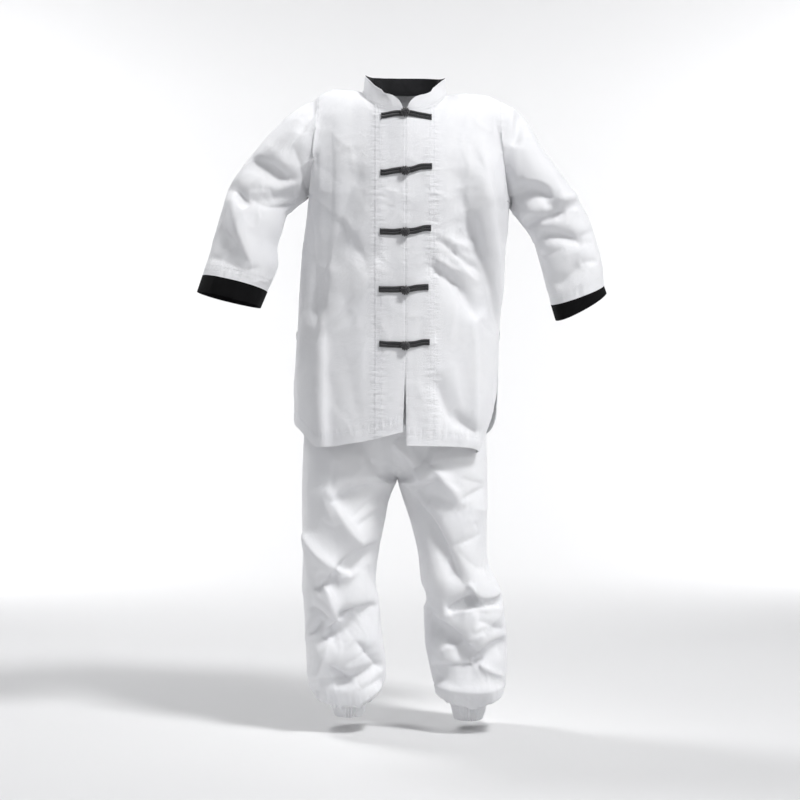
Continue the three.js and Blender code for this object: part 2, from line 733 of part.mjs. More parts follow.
// Gives points that pieces share one common normal, so that their walls meet edge to edge.
function shareNormals(parts) {
  const groups = new Map();
  parts.forEach((part) =>
    part.rows.forEach((points, r) =>
      points.forEach((p, c) => {
        const key = p.toArray().map((v) => Math.round(v * 20)).join();
        if (!groups.has(key)) groups.set(key, []);
        groups.get(key).push(part.normals[r][c]);
      }),
    ),
  );
  groups.forEach((normals) => {
    if (normals.length < 2) return;
    const sum = normals.reduce((total, n) => total.add(n), new THREE.Vector3()).normalize();
    normals.forEach((n) => n.copy(sum));
  });
}

function foldHeight(folds, x, z) {
  return folds.reduce((height, fold) => {
    const along = new THREE.Vector2(fold.x2 - fold.x1, fold.z2 - fold.z1);
    const from = new THREE.Vector2(x - fold.x1, z - fold.z1);
    const t = from.dot(along) / along.lengthSq();
    if (t < -0.15 || t > 1.15) return height;
    const off = along.cross(from) / along.length();
    const width = off > 0 ? fold.width : fold.width * fold.lean;
    const fade = Math.max(0, 1 - Math.abs((2 * t - 1) / 1.3) ** 4);
    return height + fold.height * fade * Math.exp(-((off / width) ** 2));
  }, 0);
}

const FOLDS = {
  jacket: { front: JACKET_FRONT_FOLDS, back: JACKET_BACK_FOLDS },
  trousers: { front: TROUSER_FRONT_FOLDS, back: TROUSER_BACK_FOLDS },
};

function addFolds(part) {
  if (!part.folds) return;
  part.rows.forEach((points, r) =>
    points.forEach((p, c) => {
      const normal = part.normals[r][c];
      const face = normal.y < 0 ? "front" : "back";
      const facing = smooth((Math.abs(normal.y) - 0.05) / 0.45);
      p.addScaledVector(normal, facing * foldHeight(FOLDS[part.folds][face], p.x, p.z));
    }),
  );
}

// Draws a piece's shared edges back by half a seam's gap.
function trimEdges(part) {
  const { rows, trimmed } = part;
  const pull = (p, towards) => {
    const step = towards.clone().sub(p);
    p.addScaledVector(step, SEAM_GAP / 2 / step.length());
  };
  const bottom = rows.length - 1;
  const last = rows[0].length - 1;
  if (trimmed.includes("top")) rows[0].forEach((p, c) => pull(p, rows[1][c]));
  if (trimmed.includes("bottom")) rows[bottom].forEach((p, c) => pull(p, rows[bottom - 1][c]));
  if (trimmed.includes("left")) rows.forEach((points) => pull(points[0], points[1]));
  if (trimmed.includes("right")) rows.forEach((points) => pull(points[last], points[last - 1]));
}

// A closed wall between the piece's outer points and the same points moved in along their normals
function wallOf(part) {
  const { rows, normals, closed, flipped } = part;
  const lift = part.lift ?? (() => 0);
  const height = rows.length;
  const width = rows[0].length;
  const outer = rows.map((points, r) =>
    points.map((p, c) => p.clone().addScaledVector(normals[r][c], lift(r, c))),
  );
  const inner = outer.map((points, r) =>
    points.map((p, c) => p.clone().addScaledVector(normals[r][c], -part.thickness(r, c))),
  );
  const positions = [...outer, ...inner].flat().flatMap((p) => p.toArray());
  const out = (r, c) => r * width + (c % width);
  const inn = (r, c) => (height + r) * width + (c % width);
  const faces = [];
  const quad = (a, b, c, d) => faces.push(...(flipped ? [a, c, b, a, d, c] : [a, b, c, a, c, d]));
  const spans = closed ? width : width - 1;
  for (let r = 0; r < height - 1; r++) {
    for (let c = 0; c < spans; c++) {
      quad(out(r, c), out(r + 1, c), out(r + 1, c + 1), out(r, c + 1));
      quad(inn(r, c), inn(r, c + 1), inn(r + 1, c + 1), inn(r + 1, c));
    }
  }
  // A rim's diagonal goes by its place alone, so that the rims of two pieces at a seam agree.
  const flatPoints = [...outer, ...inner].flat();
  const rim = (a, b, innerB, innerA) => {
    const step = flatPoints[b].clone().sub(flatPoints[a]);
    const ahead = Math.abs(step.z) > Math.abs(step.x) ? step.z : step.x;
    if (ahead < 0) quad(a, b, innerB, innerA);
    else quad(b, innerB, innerA, a);
  };
  for (let c = 0; c < spans; c++) {
    rim(out(0, c), out(0, c + 1), inn(0, c + 1), inn(0, c));
    rim(out(height - 1, c + 1), out(height - 1, c), inn(height - 1, c), inn(height - 1, c + 1));
  }
  if (!closed) {
    for (let r = 0; r < height - 1; r++) {
      rim(out(r + 1, 0), out(r, 0), inn(r, 0), inn(r + 1, 0));
      rim(out(r, width - 1), out(r + 1, width - 1), inn(r + 1, width - 1), inn(r, width - 1));
    }
  }
  const geometry = new THREE.BufferGeometry();
  geometry.setAttribute("position", new THREE.Float32BufferAttribute(positions, 3));
  geometry.setIndex(faces);
  geometry.computeVertexNormals();
  return geometry;
}

const uniform = new THREE.Group();
uniform.name = "tai_chi_uniform";

function addMesh(name, colour, geometry) {
  const material = new THREE.MeshStandardMaterial({ color: colour, roughness: 0.85, metalness: 0 });
  const mesh = new THREE.Mesh(geometry, material);
  mesh.name = name;
  uniform.add(mesh);
  return mesh;
}

const fronts = { right: frontPanel("right"), left: frontPanel("left") };
fronts.right.rows.slice(0, EASED_ROWS + 1).forEach(([right], r) => {
  const left = fronts.left.rows[r][0];
  right.y = (right.y + left.y) / 2;
  left.copy(right);
});
const jacketParts = [
  backPanel(),
  fronts.right,
  fronts.left,
  sleeve("right"),
  sleeve("left"),
  cuff("right"),
  cuff("left"),
  collar(),
];
const trouserParts = [
  trouserLeg("right"),
  trouserLeg("left"),
  waistband(),
  ankleBand("right"),
  ankleBand("left"),
];

for (const parts of [jacketParts, trouserParts]) {
  parts.forEach(findNormals);
  shareNormals(parts);
  parts.forEach(addFolds);
  parts.forEach(findNormals);
  shareNormals(parts);
}

// The button bands lie on the fronts and are made from the fronts' points, moved out.
const BAND_LAST = NECK_COLUMNS.indexOf(BAND_WIDTH);
function buttonBand(side) {
  const front = fronts[side];
  const cut = (lists) => lists.map((list) => list.slice(0, BAND_LAST + 1).map((p) => p.clone()));
  return {
    ...piece("band_" + side, COLOURS.white, cut(front.rows), { trimmed: ["top"] }),
    normals: cut(front.normals),
    flipped: front.flipped,
    lift: () => SEAM_GAP + OVERLAY,
    thickness: () => OVERLAY,
  };
}

// The collar's black lining lies on its inner face.
function collarLining(collarPart) {
  const copy = (lists) => lists.map((list) => list.map((p) => p.clone()));
  return {
    ...piece("collar_lining", COLOURS.charcoal, copy(collarPart.rows), { trimmed: ["bottom"] }),
    normals: copy(collarPart.normals),
    flipped: collarPart.flipped,
    lift: () => -CLOTH - SEAM_GAP,
    thickness: () => OVERLAY,
  };
}

const bands = { right: buttonBand("right"), left: buttonBand("left") };
const lining = collarLining(jacketParts[jacketParts.length - 1]);
const everyPart = [...jacketParts, bands.right, bands.left, lining, ...trouserParts];
everyPart.forEach(trimEdges);
everyPart.forEach((part) => addMesh(part.name, part.colour, wallOf(part)));

// Where the button bands' outer face lies at a place seen from the front
function bandSurface(x, z) {
  const band = bands[x < 0 ? "right" : "left"];
  const outer = band.rows.map((points, r) =>
    points.map((p, c) => p.clone().addScaledVector(band.normals[r][c], band.lift())),
  );
  for (let r = 0; r < outer.length - 1; r++) {
    for (let c = 0; c < BAND_LAST; c++) {
      const corners = [outer[r][c], outer[r + 1][c], outer[r + 1][c + 1], outer[r][c + 1]];
      for (const [i, j, k] of [[0, 1, 2], [0, 2, 3]]) {
        const flat = [corners[i], corners[j], corners[k]].map((p) => new THREE.Vector3(p.x, p.z, 0));
        const at = new THREE.Triangle(...flat).getBarycoord(new THREE.Vector3(x, z, 0), new THREE.Vector3());
        if (at && Math.min(at.x, at.y, at.z) >= -1e-6) {
          return at.x * corners[i].y + at.y * corners[j].y + at.z * corners[k].y;
        }
      }
    }
  }
  throw new Error("no band at " + x + ", " + z);
}

// One strap of a frog: two cords side by side, so its outer face has two round ridges.
const STRAP_STEPS = 4;
const STRAP_PROFILE = table(
  ["up", "relief"],
  [
    [0.5, 0.35],
    [0.25, 1],
    [0, 0.6],
    [-0.25, 1],
    [-0.5, 0.35],
  ],
);

function strap(name, from, to) {
  const under = [];
  const over = [];
  STRAP_PROFILE.forEach(({ up, relief }) => {
    const line = range(STRAP_STEPS + 1).map((i) => {
      const t = i / STRAP_STEPS;
      const x = mix(from[0], to[0], t);
      const z = mix(from[1], to[1], t) + up * STRAP_HEIGHT;
      return new THREE.Vector3(x, bandSurface(x, z) - STRAP_SEAT, z);
    });
    under.push(line);
    over.push(line.map((p) => p.clone().setY(p.y - relief * STRAP_RELIEF)));
  });
  const part = piece(name, COLOURS.black, over);
  part.normals = over.map((line) => line.map(() => new THREE.Vector3(0, -1, 0)));
  part.flipped = to[0] < from[0];
  part.thickness = (r, c) => under[r][c].y - over[r][c].y;
  addMesh(name, COLOURS.black, wallOf(part));
}

// How far forward a knot's middle must lie to clear the bands all over its back
function knotSeat(z) {
  const steps = [-0.8, -0.4, 0, 0.4, 0.8];
  const seats = steps.flatMap((across) =>
    steps.map((up) => {
      const round = Math.sqrt(Math.max(0, 1 - across ** 2 - up ** 2));
      const x = across * KNOT_RADIUS || 1;
      return bandSurface(x, z + up * KNOT_RADIUS) - round * KNOT_RADIUS * KNOT_FLATTEN;
    }),
  );
  return Math.min(...seats);
}

FROGS.forEach(({ rightX, rightZ, leftX, leftZ, knotZ }, i) => {
  const number = i + 1;
  strap("frog_right_" + number, [rightX, rightZ], [-BESIDE_KNOT, mix(knotZ, rightZ, 0.15)]);
  strap("frog_left_" + number, [leftX, leftZ], [BESIDE_KNOT, mix(knotZ, leftZ, 0.15)]);
  const knot = new THREE.IcosahedronGeometry(KNOT_RADIUS, 1);
  knot.scale(1, KNOT_FLATTEN, 1);
  knot.translate(0, knotSeat(knotZ) - STRAP_SEAT, knotZ);
  addMesh("frog_knot_" + number, COLOURS.black, knot);
});

export default uniform;
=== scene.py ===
# The looks of the tai chi uniform: fine cloth shells on the solids' form, their folds, seams and
# stitching, the frog fastenings, materials, a pale studio and the photograph's camera.
# Lengths are millimetres until a mesh is made, and metres in Blender.

import math

import bmesh
import bpy
import numpy as np
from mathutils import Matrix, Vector
from mathutils.bvhtree import BVHTree


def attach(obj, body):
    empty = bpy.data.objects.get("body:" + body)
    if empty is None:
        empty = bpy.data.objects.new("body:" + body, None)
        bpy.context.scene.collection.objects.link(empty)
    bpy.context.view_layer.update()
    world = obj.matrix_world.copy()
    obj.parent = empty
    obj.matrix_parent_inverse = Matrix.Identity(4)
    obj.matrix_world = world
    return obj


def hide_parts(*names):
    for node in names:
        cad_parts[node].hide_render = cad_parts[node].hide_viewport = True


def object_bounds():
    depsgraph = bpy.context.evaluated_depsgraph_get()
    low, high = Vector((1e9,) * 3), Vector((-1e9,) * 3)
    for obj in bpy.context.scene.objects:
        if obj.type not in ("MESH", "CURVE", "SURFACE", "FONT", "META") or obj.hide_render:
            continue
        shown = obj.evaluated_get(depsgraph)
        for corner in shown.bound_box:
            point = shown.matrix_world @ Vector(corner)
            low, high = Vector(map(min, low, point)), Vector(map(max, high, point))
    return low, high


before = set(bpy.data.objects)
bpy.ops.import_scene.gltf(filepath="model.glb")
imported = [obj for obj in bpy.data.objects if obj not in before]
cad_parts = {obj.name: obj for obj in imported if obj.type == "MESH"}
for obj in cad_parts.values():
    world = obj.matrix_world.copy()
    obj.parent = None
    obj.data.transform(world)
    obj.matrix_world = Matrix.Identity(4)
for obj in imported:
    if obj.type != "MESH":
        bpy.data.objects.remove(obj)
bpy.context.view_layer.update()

MM = 0.001
rng = np.random.default_rng(7)
SIDES = ("right", "left")
FACES = ("front", "back")


def table(columns, rows):
    return [dict(zip(columns, row)) for row in rows]


# ---- the garment's sizes, as in the solids ----
CLOTH = 1.1  # wall of one layer in the picture
NECK_HALF_WIDTH = 88
NECK_SHARE = 0.35  # of a half panel's columns, from its middle to the neck's end
NECK_DROP_FRONT = 38
NECK_RISE_BACK = 19
NECK_DEPTH_FRONT = 95
NECK_DEPTH_BACK = 72
SLIT_TOP = -485
SLIT_LENGTH = 238
OPENING_TOP = -533
COLLAR_HEIGHT = 35
CROTCH_Z = -783
RISE_CURVE = 110
RISE_BLEND = 210
NECK_COLUMNS = [0, 8, 22, 40, 60, 76, 88]
SIDE_COLUMNS = 8
ARMHOLE_ROWS = 9
SEAM_ROWS = 6
SLIT_ROWS = 5
BODY_ROWS = SEAM_ROWS + SLIT_ROWS
LEG_COLUMNS = 24
ROUNDNESS = 2.3
LEG_ROUNDNESS = 2.4
HIP_ROUNDNESS = 2.6
CHEST_Z = -217

BODY_SECTIONS = table(
    ["z", "right", "left", "front", "back"],
    [
        [-200, 197, 216, 124, 118],
        [-258, 203, 212, 131, 117],
        [-326, 211, 204, 131, 110],
        [-398, 216, 202, 129, 107],
        [-474, 221, 193, 131, 114],
        [-545, 224, 191, 134, 124],
        [-617, 226, 190, 138, 128],
        [-720, 228, 184, 142, 131],
    ],
)
HEM = table(
    ["share", "right", "left", "back"],
    [
        [0, -680, -707, -690],
        [0.35, -700, -709, -692],
        [0.59, -711, -713, -692],
        [0.7, -690, -717, -690],
        [0.85, -671, -720, -678],
        [1, -662, -723, -654],
    ],
)
SHOULDERS = {
    "right": {"side": -1, "neckZ": 14, "midZ": 20, "tip": (-183, 7), "underarm": (-197, -207)},
    "left": {"side": 1, "neckZ": 8, "midZ": 12, "tip": (197, 0), "underarm": (216, -227)},
}
ARMHOLE_DEPTH = {"front": 80, "back": 84}
ARMHOLE_HOLLOW = 9
SLEEVE_COLUMNS = ["outX", "outZ", "inX", "inZ", "depth", "forward", "tilt"]
SLEEVES = {
    "right": table(SLEEVE_COLUMNS, [
        [-217, -20, -211, -214, 80, 0, 0],
        [-257, -51, -226, -225, 76, 2, 0],
        [-304, -104, -240, -236, 72, 6, 0],
        [-338, -150, -245, -248, 70, 10, 0],
        [-359, -182, -248, -262, 68, 15, 0],
        [-368, -216, -252, -280, 66, 21, 0],
        [-380, -260, -260, -308, 64, 28, 0],
        [-394, -312, -257, -342, 63, 35, 0],
        [-405, -346, -267, -373, 62, 40, 2],
        [-410, -366, -279, -398, 61, 43, 5],
    ]),
    "left": table(SLEEVE_COLUMNS, [
        [224, -20, 220, -232, 82, 0, 0],
        [249, -48, 228, -243, 78, 2, 0],
        [274, -94, 238, -256, 74, 6, 0],
        [304, -134, 248, -269, 71, 10, 0],
        [332, -174, 260, -286, 68, 15, 0],
        [355, -212, 267, -308, 66, 21, 0],
        [375, -254, 273, -334, 64, 28, 0],
        [389, -298, 279, -362, 62, 35, -2],
        [398, -340, 287, -392, 60, 40, -5],
        [402, -385, 295, -424, 58, 43, -8],
    ]),
}
CUFF_ENDS = {
    "right": table(SLEEVE_COLUMNS, [[-420, -399, -292, -430, 60, 47, 3]])[0],
    "left": table(SLEEVE_COLUMNS, [[406, -401, 305, -456, 57, 47, -10]])[0],
}
HIP_SECTIONS = table(
    ["z", "centre", "right", "left", "front", "back"],
    [
        [-452, -6, 158, 142, 100, 96],
        [-500, -8, 176, 152, 106, 108],
        [-570, -11, 192, 160, 112, 124.6],
        [-640, -13, 201, 164, 116, 118],
        [-710, -15, 205, 166, 108, 116],
        [-783, -16, 209, 168, 100, 110],
    ],
)
LEG_NAMES = ["z", "out", "in", "front", "back"]
LEGS = {
    "right": table(LEG_NAMES, [
        [-783, -210, -18, 100, 106],
        [-822, -210, -34, 98, 104],
        [-884, -210, -45, 97, 98],
        [-945, -209, -57, 98, 90],
        [-990, -210, -60, 97, 84],
        [-1027, -207, -53, 94, 84],
        [-1078, -205, -50, 88, 92],
        [-1130, -203, -43, 86, 98],
        [-1175, -200, -40, 86, 100],
        [-1212, -193, -52, 84, 92],
        [-1236, -172, -72, 66, 72],
    ]),
    "left": table(LEG_NAMES, [
        [-783, 168, -14, 100, 106],
        [-822, 168, -3, 98, 104],
        [-884, 167, 16, 97, 98],
        [-945, 168, 29, 98, 90],
        [-984, 187, 33, 98, 84],
        [-1022, 199, 45, 93, 84],
        [-1054, 203, 38, 90, 88],
        [-1109, 209, 40, 88, 96],
        [-1156, 208, 49, 88, 100],
        [-1205, 202, 62, 84, 92],
        [-1234, 180, 78, 66, 72],
    ]),
}
LEG_HEIGHTS = [
    -452, -490, -540, -590, -640, -673, -706, -739, -765, -783, -805, -832, -862, -895, -928, -960,
    -990, -1020, -1050, -1082, -1115, -1148, -1180, -1208, -1226, -1237,
]
LEG_END_Z = -1236
ANKLES = {
    "right": {"x": -115, "y": 6, "halfWidth": 37, "halfDepth": 42, "top": -1226, "bottom": -1264},
    "left": {"x": 130, "y": 6, "halfWidth": 38, "halfDepth": 42, "top": -1226, "bottom": -1271},
}
ANKLE_TAPER = 0.3
ANKLE_GATHER_DEPTH = 1.8
WAISTBAND_HEIGHT = 38
FROGS = table(
    ["rightX", "rightZ", "leftX", "leftZ", "knotZ"],
    [
        [-48, -52, 53, -54, -48],
        [-49, -166, 53, -154, -161],
        [-50, -284, 51, -277, -284],
        [-52, -398, 46, -394, -398],
        [-51, -506, 48, -503, -508],
    ],
)


# ---- sections and panels, as in the solids ----
def hermite(t, span, start, slope, end, end_slope):
    return (
        (1 + 2 * t) * (1 - t) ** 2 * start
        + t * (1 - t) ** 2 * span * slope
        + t * t * (3 - 2 * t) * end
        + t * t * (t - 1) * span * end_slope
    )


def curve(rows, key, column):
    ordered = sorted(rows, key=lambda row: row[key])
    at = np.array([row[key] for row in ordered], float)
    value = np.array([row[column] for row in ordered], float)
    slope = np.diff(value) / np.diff(at)
    before = np.concatenate([slope[:1], slope])
    after = np.concatenate([slope, slope[-1:]])
    same = before * after > 0
    tangent = np.where(same, 2 * before * after / np.where(same, before + after, 1), 0)

    def read(x):
        k = int(np.clip(np.searchsorted(at, x, side="right") - 1, 0, len(at) - 2))
        span = at[k + 1] - at[k]
        t = min(1.0, max(0.0, (x - at[k]) / span))
        return hermite(t, span, value[k], tangent[k], value[k + 1], tangent[k + 1])

    return read


def mix(a, b, t):
    return a + (b - a) * t


def smooth(t):
    s = np.clip(t, 0, 1)
    return s * s * (3 - 2 * s)


def curves(rows):
    """A curve for each column of a table, read at a value of its first column."""
    key, *columns = rows[0]
    return {column: curve(rows, key, column) for column in columns}


body, hem, hips = curves(BODY_SECTIONS), curves(HEM), curves(HIP_SECTIONS)
legs = {side: curves(LEGS[side]) for side in SIDES}
COLUMN_COUNT = len(NECK_COLUMNS) + SIDE_COLUMNS
ROW_COUNT = ARMHOLE_ROWS + BODY_ROWS + 1


def column_share(i):
    if i < len(NECK_COLUMNS):
        return NECK_SHARE * NECK_COLUMNS[i] / NECK_HALF_WIDTH
    return NECK_SHARE + (1 - NECK_SHARE) * (i - len(NECK_COLUMNS) + 1) / SIDE_COLUMNS


def past_neck(share):
    return (share - NECK_SHARE) / (1 - NECK_SHARE)


def quarter(angle, half_width, depth, roundness=ROUNDNESS):
    across = half_width * math.sin(angle) ** (2 / roundness)
    return across, depth * max(0.0, math.cos(angle)) ** (2 / roundness)


def section_point(side, face, share, z):
    half_width, depth = body[side](z), body[face](z)
    sign = SHOULDERS[side]["side"]
    facing = -1 if face == "front" else 1
    if share <= NECK_SHARE:
        x = share / NECK_SHARE * NECK_HALF_WIDTH
        y = depth * (1 - (x / half_width) ** ROUNDNESS) ** (1 / ROUNDNESS)
    else:
        neck_angle = math.asin((NECK_HALF_WIDTH / half_width) ** (ROUNDNESS / 2))
        angle = mix(neck_angle, math.pi / 2, past_neck(share))
        x, y = quarter(angle, half_width, depth)
    return np.array([sign * x, facing * y, z])


def top_point(side, face, share):
    shoulder = SHOULDERS[side]
    sign, neck_z, tip = shoulder["side"], shoulder["neckZ"], shoulder["tip"]
    if share <= NECK_SHARE:
        across = share / NECK_SHARE
        round_it = max(0.0, 1 - across**2.2) ** 0.5
        depth = -NECK_DEPTH_FRONT - 5 if face == "front" else NECK_DEPTH_BACK - 5
        centre_z = -NECK_DROP_FRONT if face == "front" else NECK_RISE_BACK
        x = sign * across * NECK_HALF_WIDTH
        return np.array([x, 5 + depth * round_it, mix(centre_z, neck_z, across**3)])
    t = past_neck(share)
    bow = 2 * shoulder["midZ"] - (neck_z + tip[1]) / 2
    z = (1 - t) ** 2 * neck_z + 2 * t * (1 - t) * bow + t * t * tip[1]
    return np.array([mix(sign * NECK_HALF_WIDTH, tip[0], t), 5 * (1 - t), z])


def underarm_z(side, share):
    return mix(CHEST_Z, SHOULDERS[side]["underarm"][1], share**2)


def fullness(side, face, share, section, z):
    top = top_point(side, face, share)[2]
    reach = (top - underarm_z(side, share)) * (1 + 0.5 * min(1.0, (1 - share) / 0.25))
    down = min(1.0, max(0.0, (top - z) / reach))
    towards_side = 1 - abs(section[1]) / body[face](section[2])
    facing = -1 if face == "front" else 1
    return facing * ARMHOLE_DEPTH[face] * towards_side * abs(math.sin(math.pi * down)) ** 0.8


def upper_point(side, face, share, down):
    top = top_point(side, face, share)
    low = section_point(side, face, share, underarm_z(side, share))
    swell = math.sin(math.pi / 2 * down) ** 0.62
    hollow = ARMHOLE_HOLLOW * abs(math.sin(math.pi * down)) ** 0.8 * share**4
    z = mix(top[2], low[2], down)
    x = mix(top[0], low[0], smooth(down)) - SHOULDERS[side]["side"] * hollow
    return np.array([x, mix(top[1], low[1], swell) + fullness(side, face, share, low, z), z])


def lower_point(side, face, share, row):
    hem_z = hem[side](share) if face == "front" else hem["back"](share)
    if row <= SEAM_ROWS:
        z = mix(underarm_z(side, share), SLIT_TOP, row / SEAM_ROWS)
    else:
        z = mix(SLIT_TOP, hem_z, (row - SEAM_ROWS) / SLIT_ROWS)
    p = section_point(side, face, share, z)
    p[1] += fullness(side, face, share, p, z)
    slit = max(0.0, (SLIT_TOP - z) / SLIT_LENGTH)
    edge = smooth((share - 0.7) / 0.3)
    outward = max(0.0, past_neck(share))
    if face == "back":
        p[1] += 18 * slit * edge
        p[0] -= SHOULDERS[side]["side"] * 4 * slit**2 * edge
    elif side == "left":
        p[1] -= 80 * slit**1.5 * outward**2
        p[0] -= 42 * slit**3.2 * outward
    else:
        p[1] -= 12 * slit * edge
    return p


def jacket_point(side, face, column, row):
    share = column_share(column)
    if row <= ARMHOLE_ROWS:
        t = row / ARMHOLE_ROWS
        p = upper_point(side, face, share, mix(t, (1 - math.cos(math.pi * t)) / 2, 0.7))
    else:
        p = lower_point(side, face, share, row - ARMHOLE_ROWS)
    if face == "front":
        parted = (3 if side == "left" else 5) * smooth((OPENING_TOP - p[2]) / 170)
        p[0] += SHOULDERS[side]["side"] * parted * max(0.0, 1 - share / 0.25)
    return p


EASED_ROWS = ARMHOLE_ROWS + 3


def ease(rows, mirrored_at_start):
    for _ in range(5):
        depth = rows[:, :, 1].copy()
        for r in range(1, EASED_ROWS):
            for c in range(0 if mirrored_at_start else 1, rows.shape[1] - 1):
                beside = depth[r, abs(c - 1)] + depth[r, c + 1]
                rows[r, c, 1] = (depth[r - 1, c] + depth[r + 1, c] + beside) / 4
    return rows


def panel_rows(side, face):
    return np.array([
        [jacket_point(side, face, c, r) for c in range(COLUMN_COUNT)] for r in range(ROW_COUNT)
    ])


def sleeve_ring(section):
    n = 2 * ARMHOLE_ROWS
    ring = []
    for i in range(n):
        angle = 2 * math.pi * i / n
        across = (1 - math.cos(angle)) / 2
        deep = math.sin(angle)
        ring.append([
            mix(section["outX"], section["inX"], across),
            -section["forward"] - section["depth"] * np.sign(deep) * abs(deep) ** 0.9,
            mix(section["outZ"], section["inZ"], across) + section["tilt"] * deep,
        ])
    return ring


def hip_point(side, turn, z):
    sign = SHOULDERS[side]["side"]
    face = "front" if turn < 0.5 else "back"
    half_width = hips[side](z) - sign * hips["centre"](z)
    squareness = mix(ROUNDNESS, HIP_ROUNDNESS, smooth((-480 - z) / 250))
    angle = math.pi / 2 - abs(turn - 0.5) * math.pi
    x, y = quarter(angle, half_width, hips[face](z), squareness)
    return np.array([hips["centre"](z) + sign * x, (-1 if face == "front" else 1) * y, z])


def leg_point(side, turn, z, inner=None):
    leg = legs[side]
    inner = leg["in"](z) if inner is None else inner
    angle = 2 * math.pi * (turn - 0.5)
    middle, half_width = (leg["out"](z) + inner) / 2, (leg["out"](z) - inner) / 2
    power = 2 / LEG_ROUNDNESS
    across = np.sign(math.cos(angle)) * abs(math.cos(angle)) ** power
    deep = np.sign(math.sin(angle)) * abs(math.sin(angle)) ** power
    depth = leg["front"](z) if deep < 0 else leg["back"](z)
    return np.array([middle + half_width * across, deep * depth, z])


def trouser_point(side, column, z):
    turn = column / LEG_COLUMNS
    if z > CROTCH_Z:
        sunk = max(0.0, (CROTCH_Z + RISE_CURVE - z) / RISE_CURVE)
        seam = math.sqrt(max(0.0, 1 - sunk**2))
        outer = smooth((z - CROTCH_Z) / RISE_BLEND)
        opened = mix(seam, outer, smooth((1 - abs(2 * turn - 1)) / 0.5))
        leg = leg_point(side, turn, CROTCH_Z, hips["centre"](CROTCH_Z))
        p = mix(leg, hip_point(side, turn, z), opened)
    else:
        p = leg_point(side, turn, z)
    p[2] = z
    return p


def ankle_section(side, down):
    taper = 1 - ANKLE_TAPER * down**2
    gather = ANKLE_GATHER_DEPTH * mix(0.4, 1, down)
    return ANKLES[side]["halfWidth"] * taper, ANKLES[side]["halfDepth"] * taper, gather


def leg_end(side, count):
    a = ANKLES[side]
    across, deep, gather = ankle_section(side, (a["top"] - LEG_END_Z) / (a["top"] - a["bottom"]))
    angle = 2 * np.pi * (np.arange(count) / (count - 1) - 0.5)
    sign = SHOULDERS[side]["side"]
    return np.stack([
        a["x"] + sign * (across + gather + 0.6) * np.cos(angle),
        a["y"] + (deep + gather + 0.6) * np.sin(angle),
        np.full(count, float(LEG_END_Z)),
    ], 1)


# ---- finer grids through the same points ----
def unit(vectors):
    return vectors / np.maximum(np.linalg.norm(vectors, axis=-1, keepdims=True), 1e-9)


def lengths_along(points):
    return np.concatenate([[0], np.cumsum(np.linalg.norm(np.diff(points, axis=0), axis=1))])


def spline(values, fine, closed):
    """Monotone cubic through values (first axis), read at fractional places along it."""
    v = np.asarray(values, float)
    n = len(v)
    slope = np.roll(v, -1, 0) - v if closed else np.diff(v, axis=0)
    if closed:
        before, after = np.roll(slope, 1, 0), slope
    else:
        before = np.concatenate([slope[:1], slope])
        after = np.concatenate([slope, slope[-1:]])
    gentle = 0.5 * (before + after)
    limit = 3 * np.minimum(abs(before), abs(after))
    tangent = np.where(before * after > 0, np.sign(gentle) * np.minimum(abs(gentle), limit), 0)
    fine = np.asarray(fine, float)
    k = np.floor(fine + 1e-9).astype(int)
    k = k % n if closed else np.clip(k, 0, n - 2)
    t = fine - np.floor(fine + 1e-9) if closed else fine - k
    t = t.reshape((-1,) + (1,) * (v.ndim - 1))
    j = (k + 1) % n
    return hermite(t, 1, v[k], tangent[k], v[j], tangent[j])


def refine(rows, row_steps, column_steps, closed=False):
    """row_steps and column_steps give how many parts each gap is cut into."""

    def places(steps):
        return [i + k / s for i, s in enumerate(steps) for k in range(s)]

    fine = spline(rows, places(row_steps) + [len(row_steps)], False)
    columns = places(column_steps) + ([] if closed else [len(column_steps)])
    return spline(fine.transpose(1, 0, 2), columns, closed).transpose(1, 0, 2)


# how many parts each gap between rows or columns is cut into
UPPER, LOWER, SLEEVE_STEPS, CUFF_STEPS, LEG_DOWN, LEG_ACROSS = 8, 10, 10, 5, 9, 8
ROW_STEPS = [UPPER] * ARMHOLE_ROWS + [LOWER] * BODY_ROWS
HALF_STEPS = [2, 3, 4, 4, 4, 4] + [6] * SIDE_COLUMNS


class Cloth:
    """Rows of points on a piece's outer face, before they become a thin shell."""

    def __init__(self, name, rows, closed=False, folds=None, thickness=None):
        self.name, self.rows, self.closed, self.folds = name, np.array(rows, float), closed, folds
        self.thickness = np.full(self.rows.shape[:2], CLOTH) if thickness is None else thickness
        self.normals = None
        self.flipped = False
        self.seam = np.zeros(self.rows.shape)

    def relax(self, times):
        """Eases the ripples of the coarse grid, along the normals, and leaves the edges."""
        edge = slice(None) if self.closed else slice(1, -1)
        for _ in range(times):
            p = self.rows
            around = (np.roll(p, 1, 1) + np.roll(p, -1, 1))[1:-1, edge]
            beside = around + p[:-2, edge] + p[2:, edge]
            move = (beside / 4 - p[1:-1, edge]) * 0.5
            n = self.normals[1:-1, edge]
            p = p.copy()
            p[1:-1, edge] += n * (move * n).sum(-1, keepdims=True)
            self.rows = p

    def find_normals(self):
        p = self.rows
        if self.closed:
            across = np.roll(p, -1, 1) - np.roll(p, 1, 1)
        else:
            padded = np.concatenate([p[:, :1], p, p[:, -1:]], 1)
            across = padded[:, 2:] - padded[:, :-2]
        padded = np.concatenate([p[:1], p, p[-1:]], 0)
        down = padded[2:] - padded[:-2]
        n = unit(np.cross(down, across))
        self.flipped = (n * (p - p.mean(1, keepdims=True))).sum() < 0
        self.normals = -n if self.flipped else n


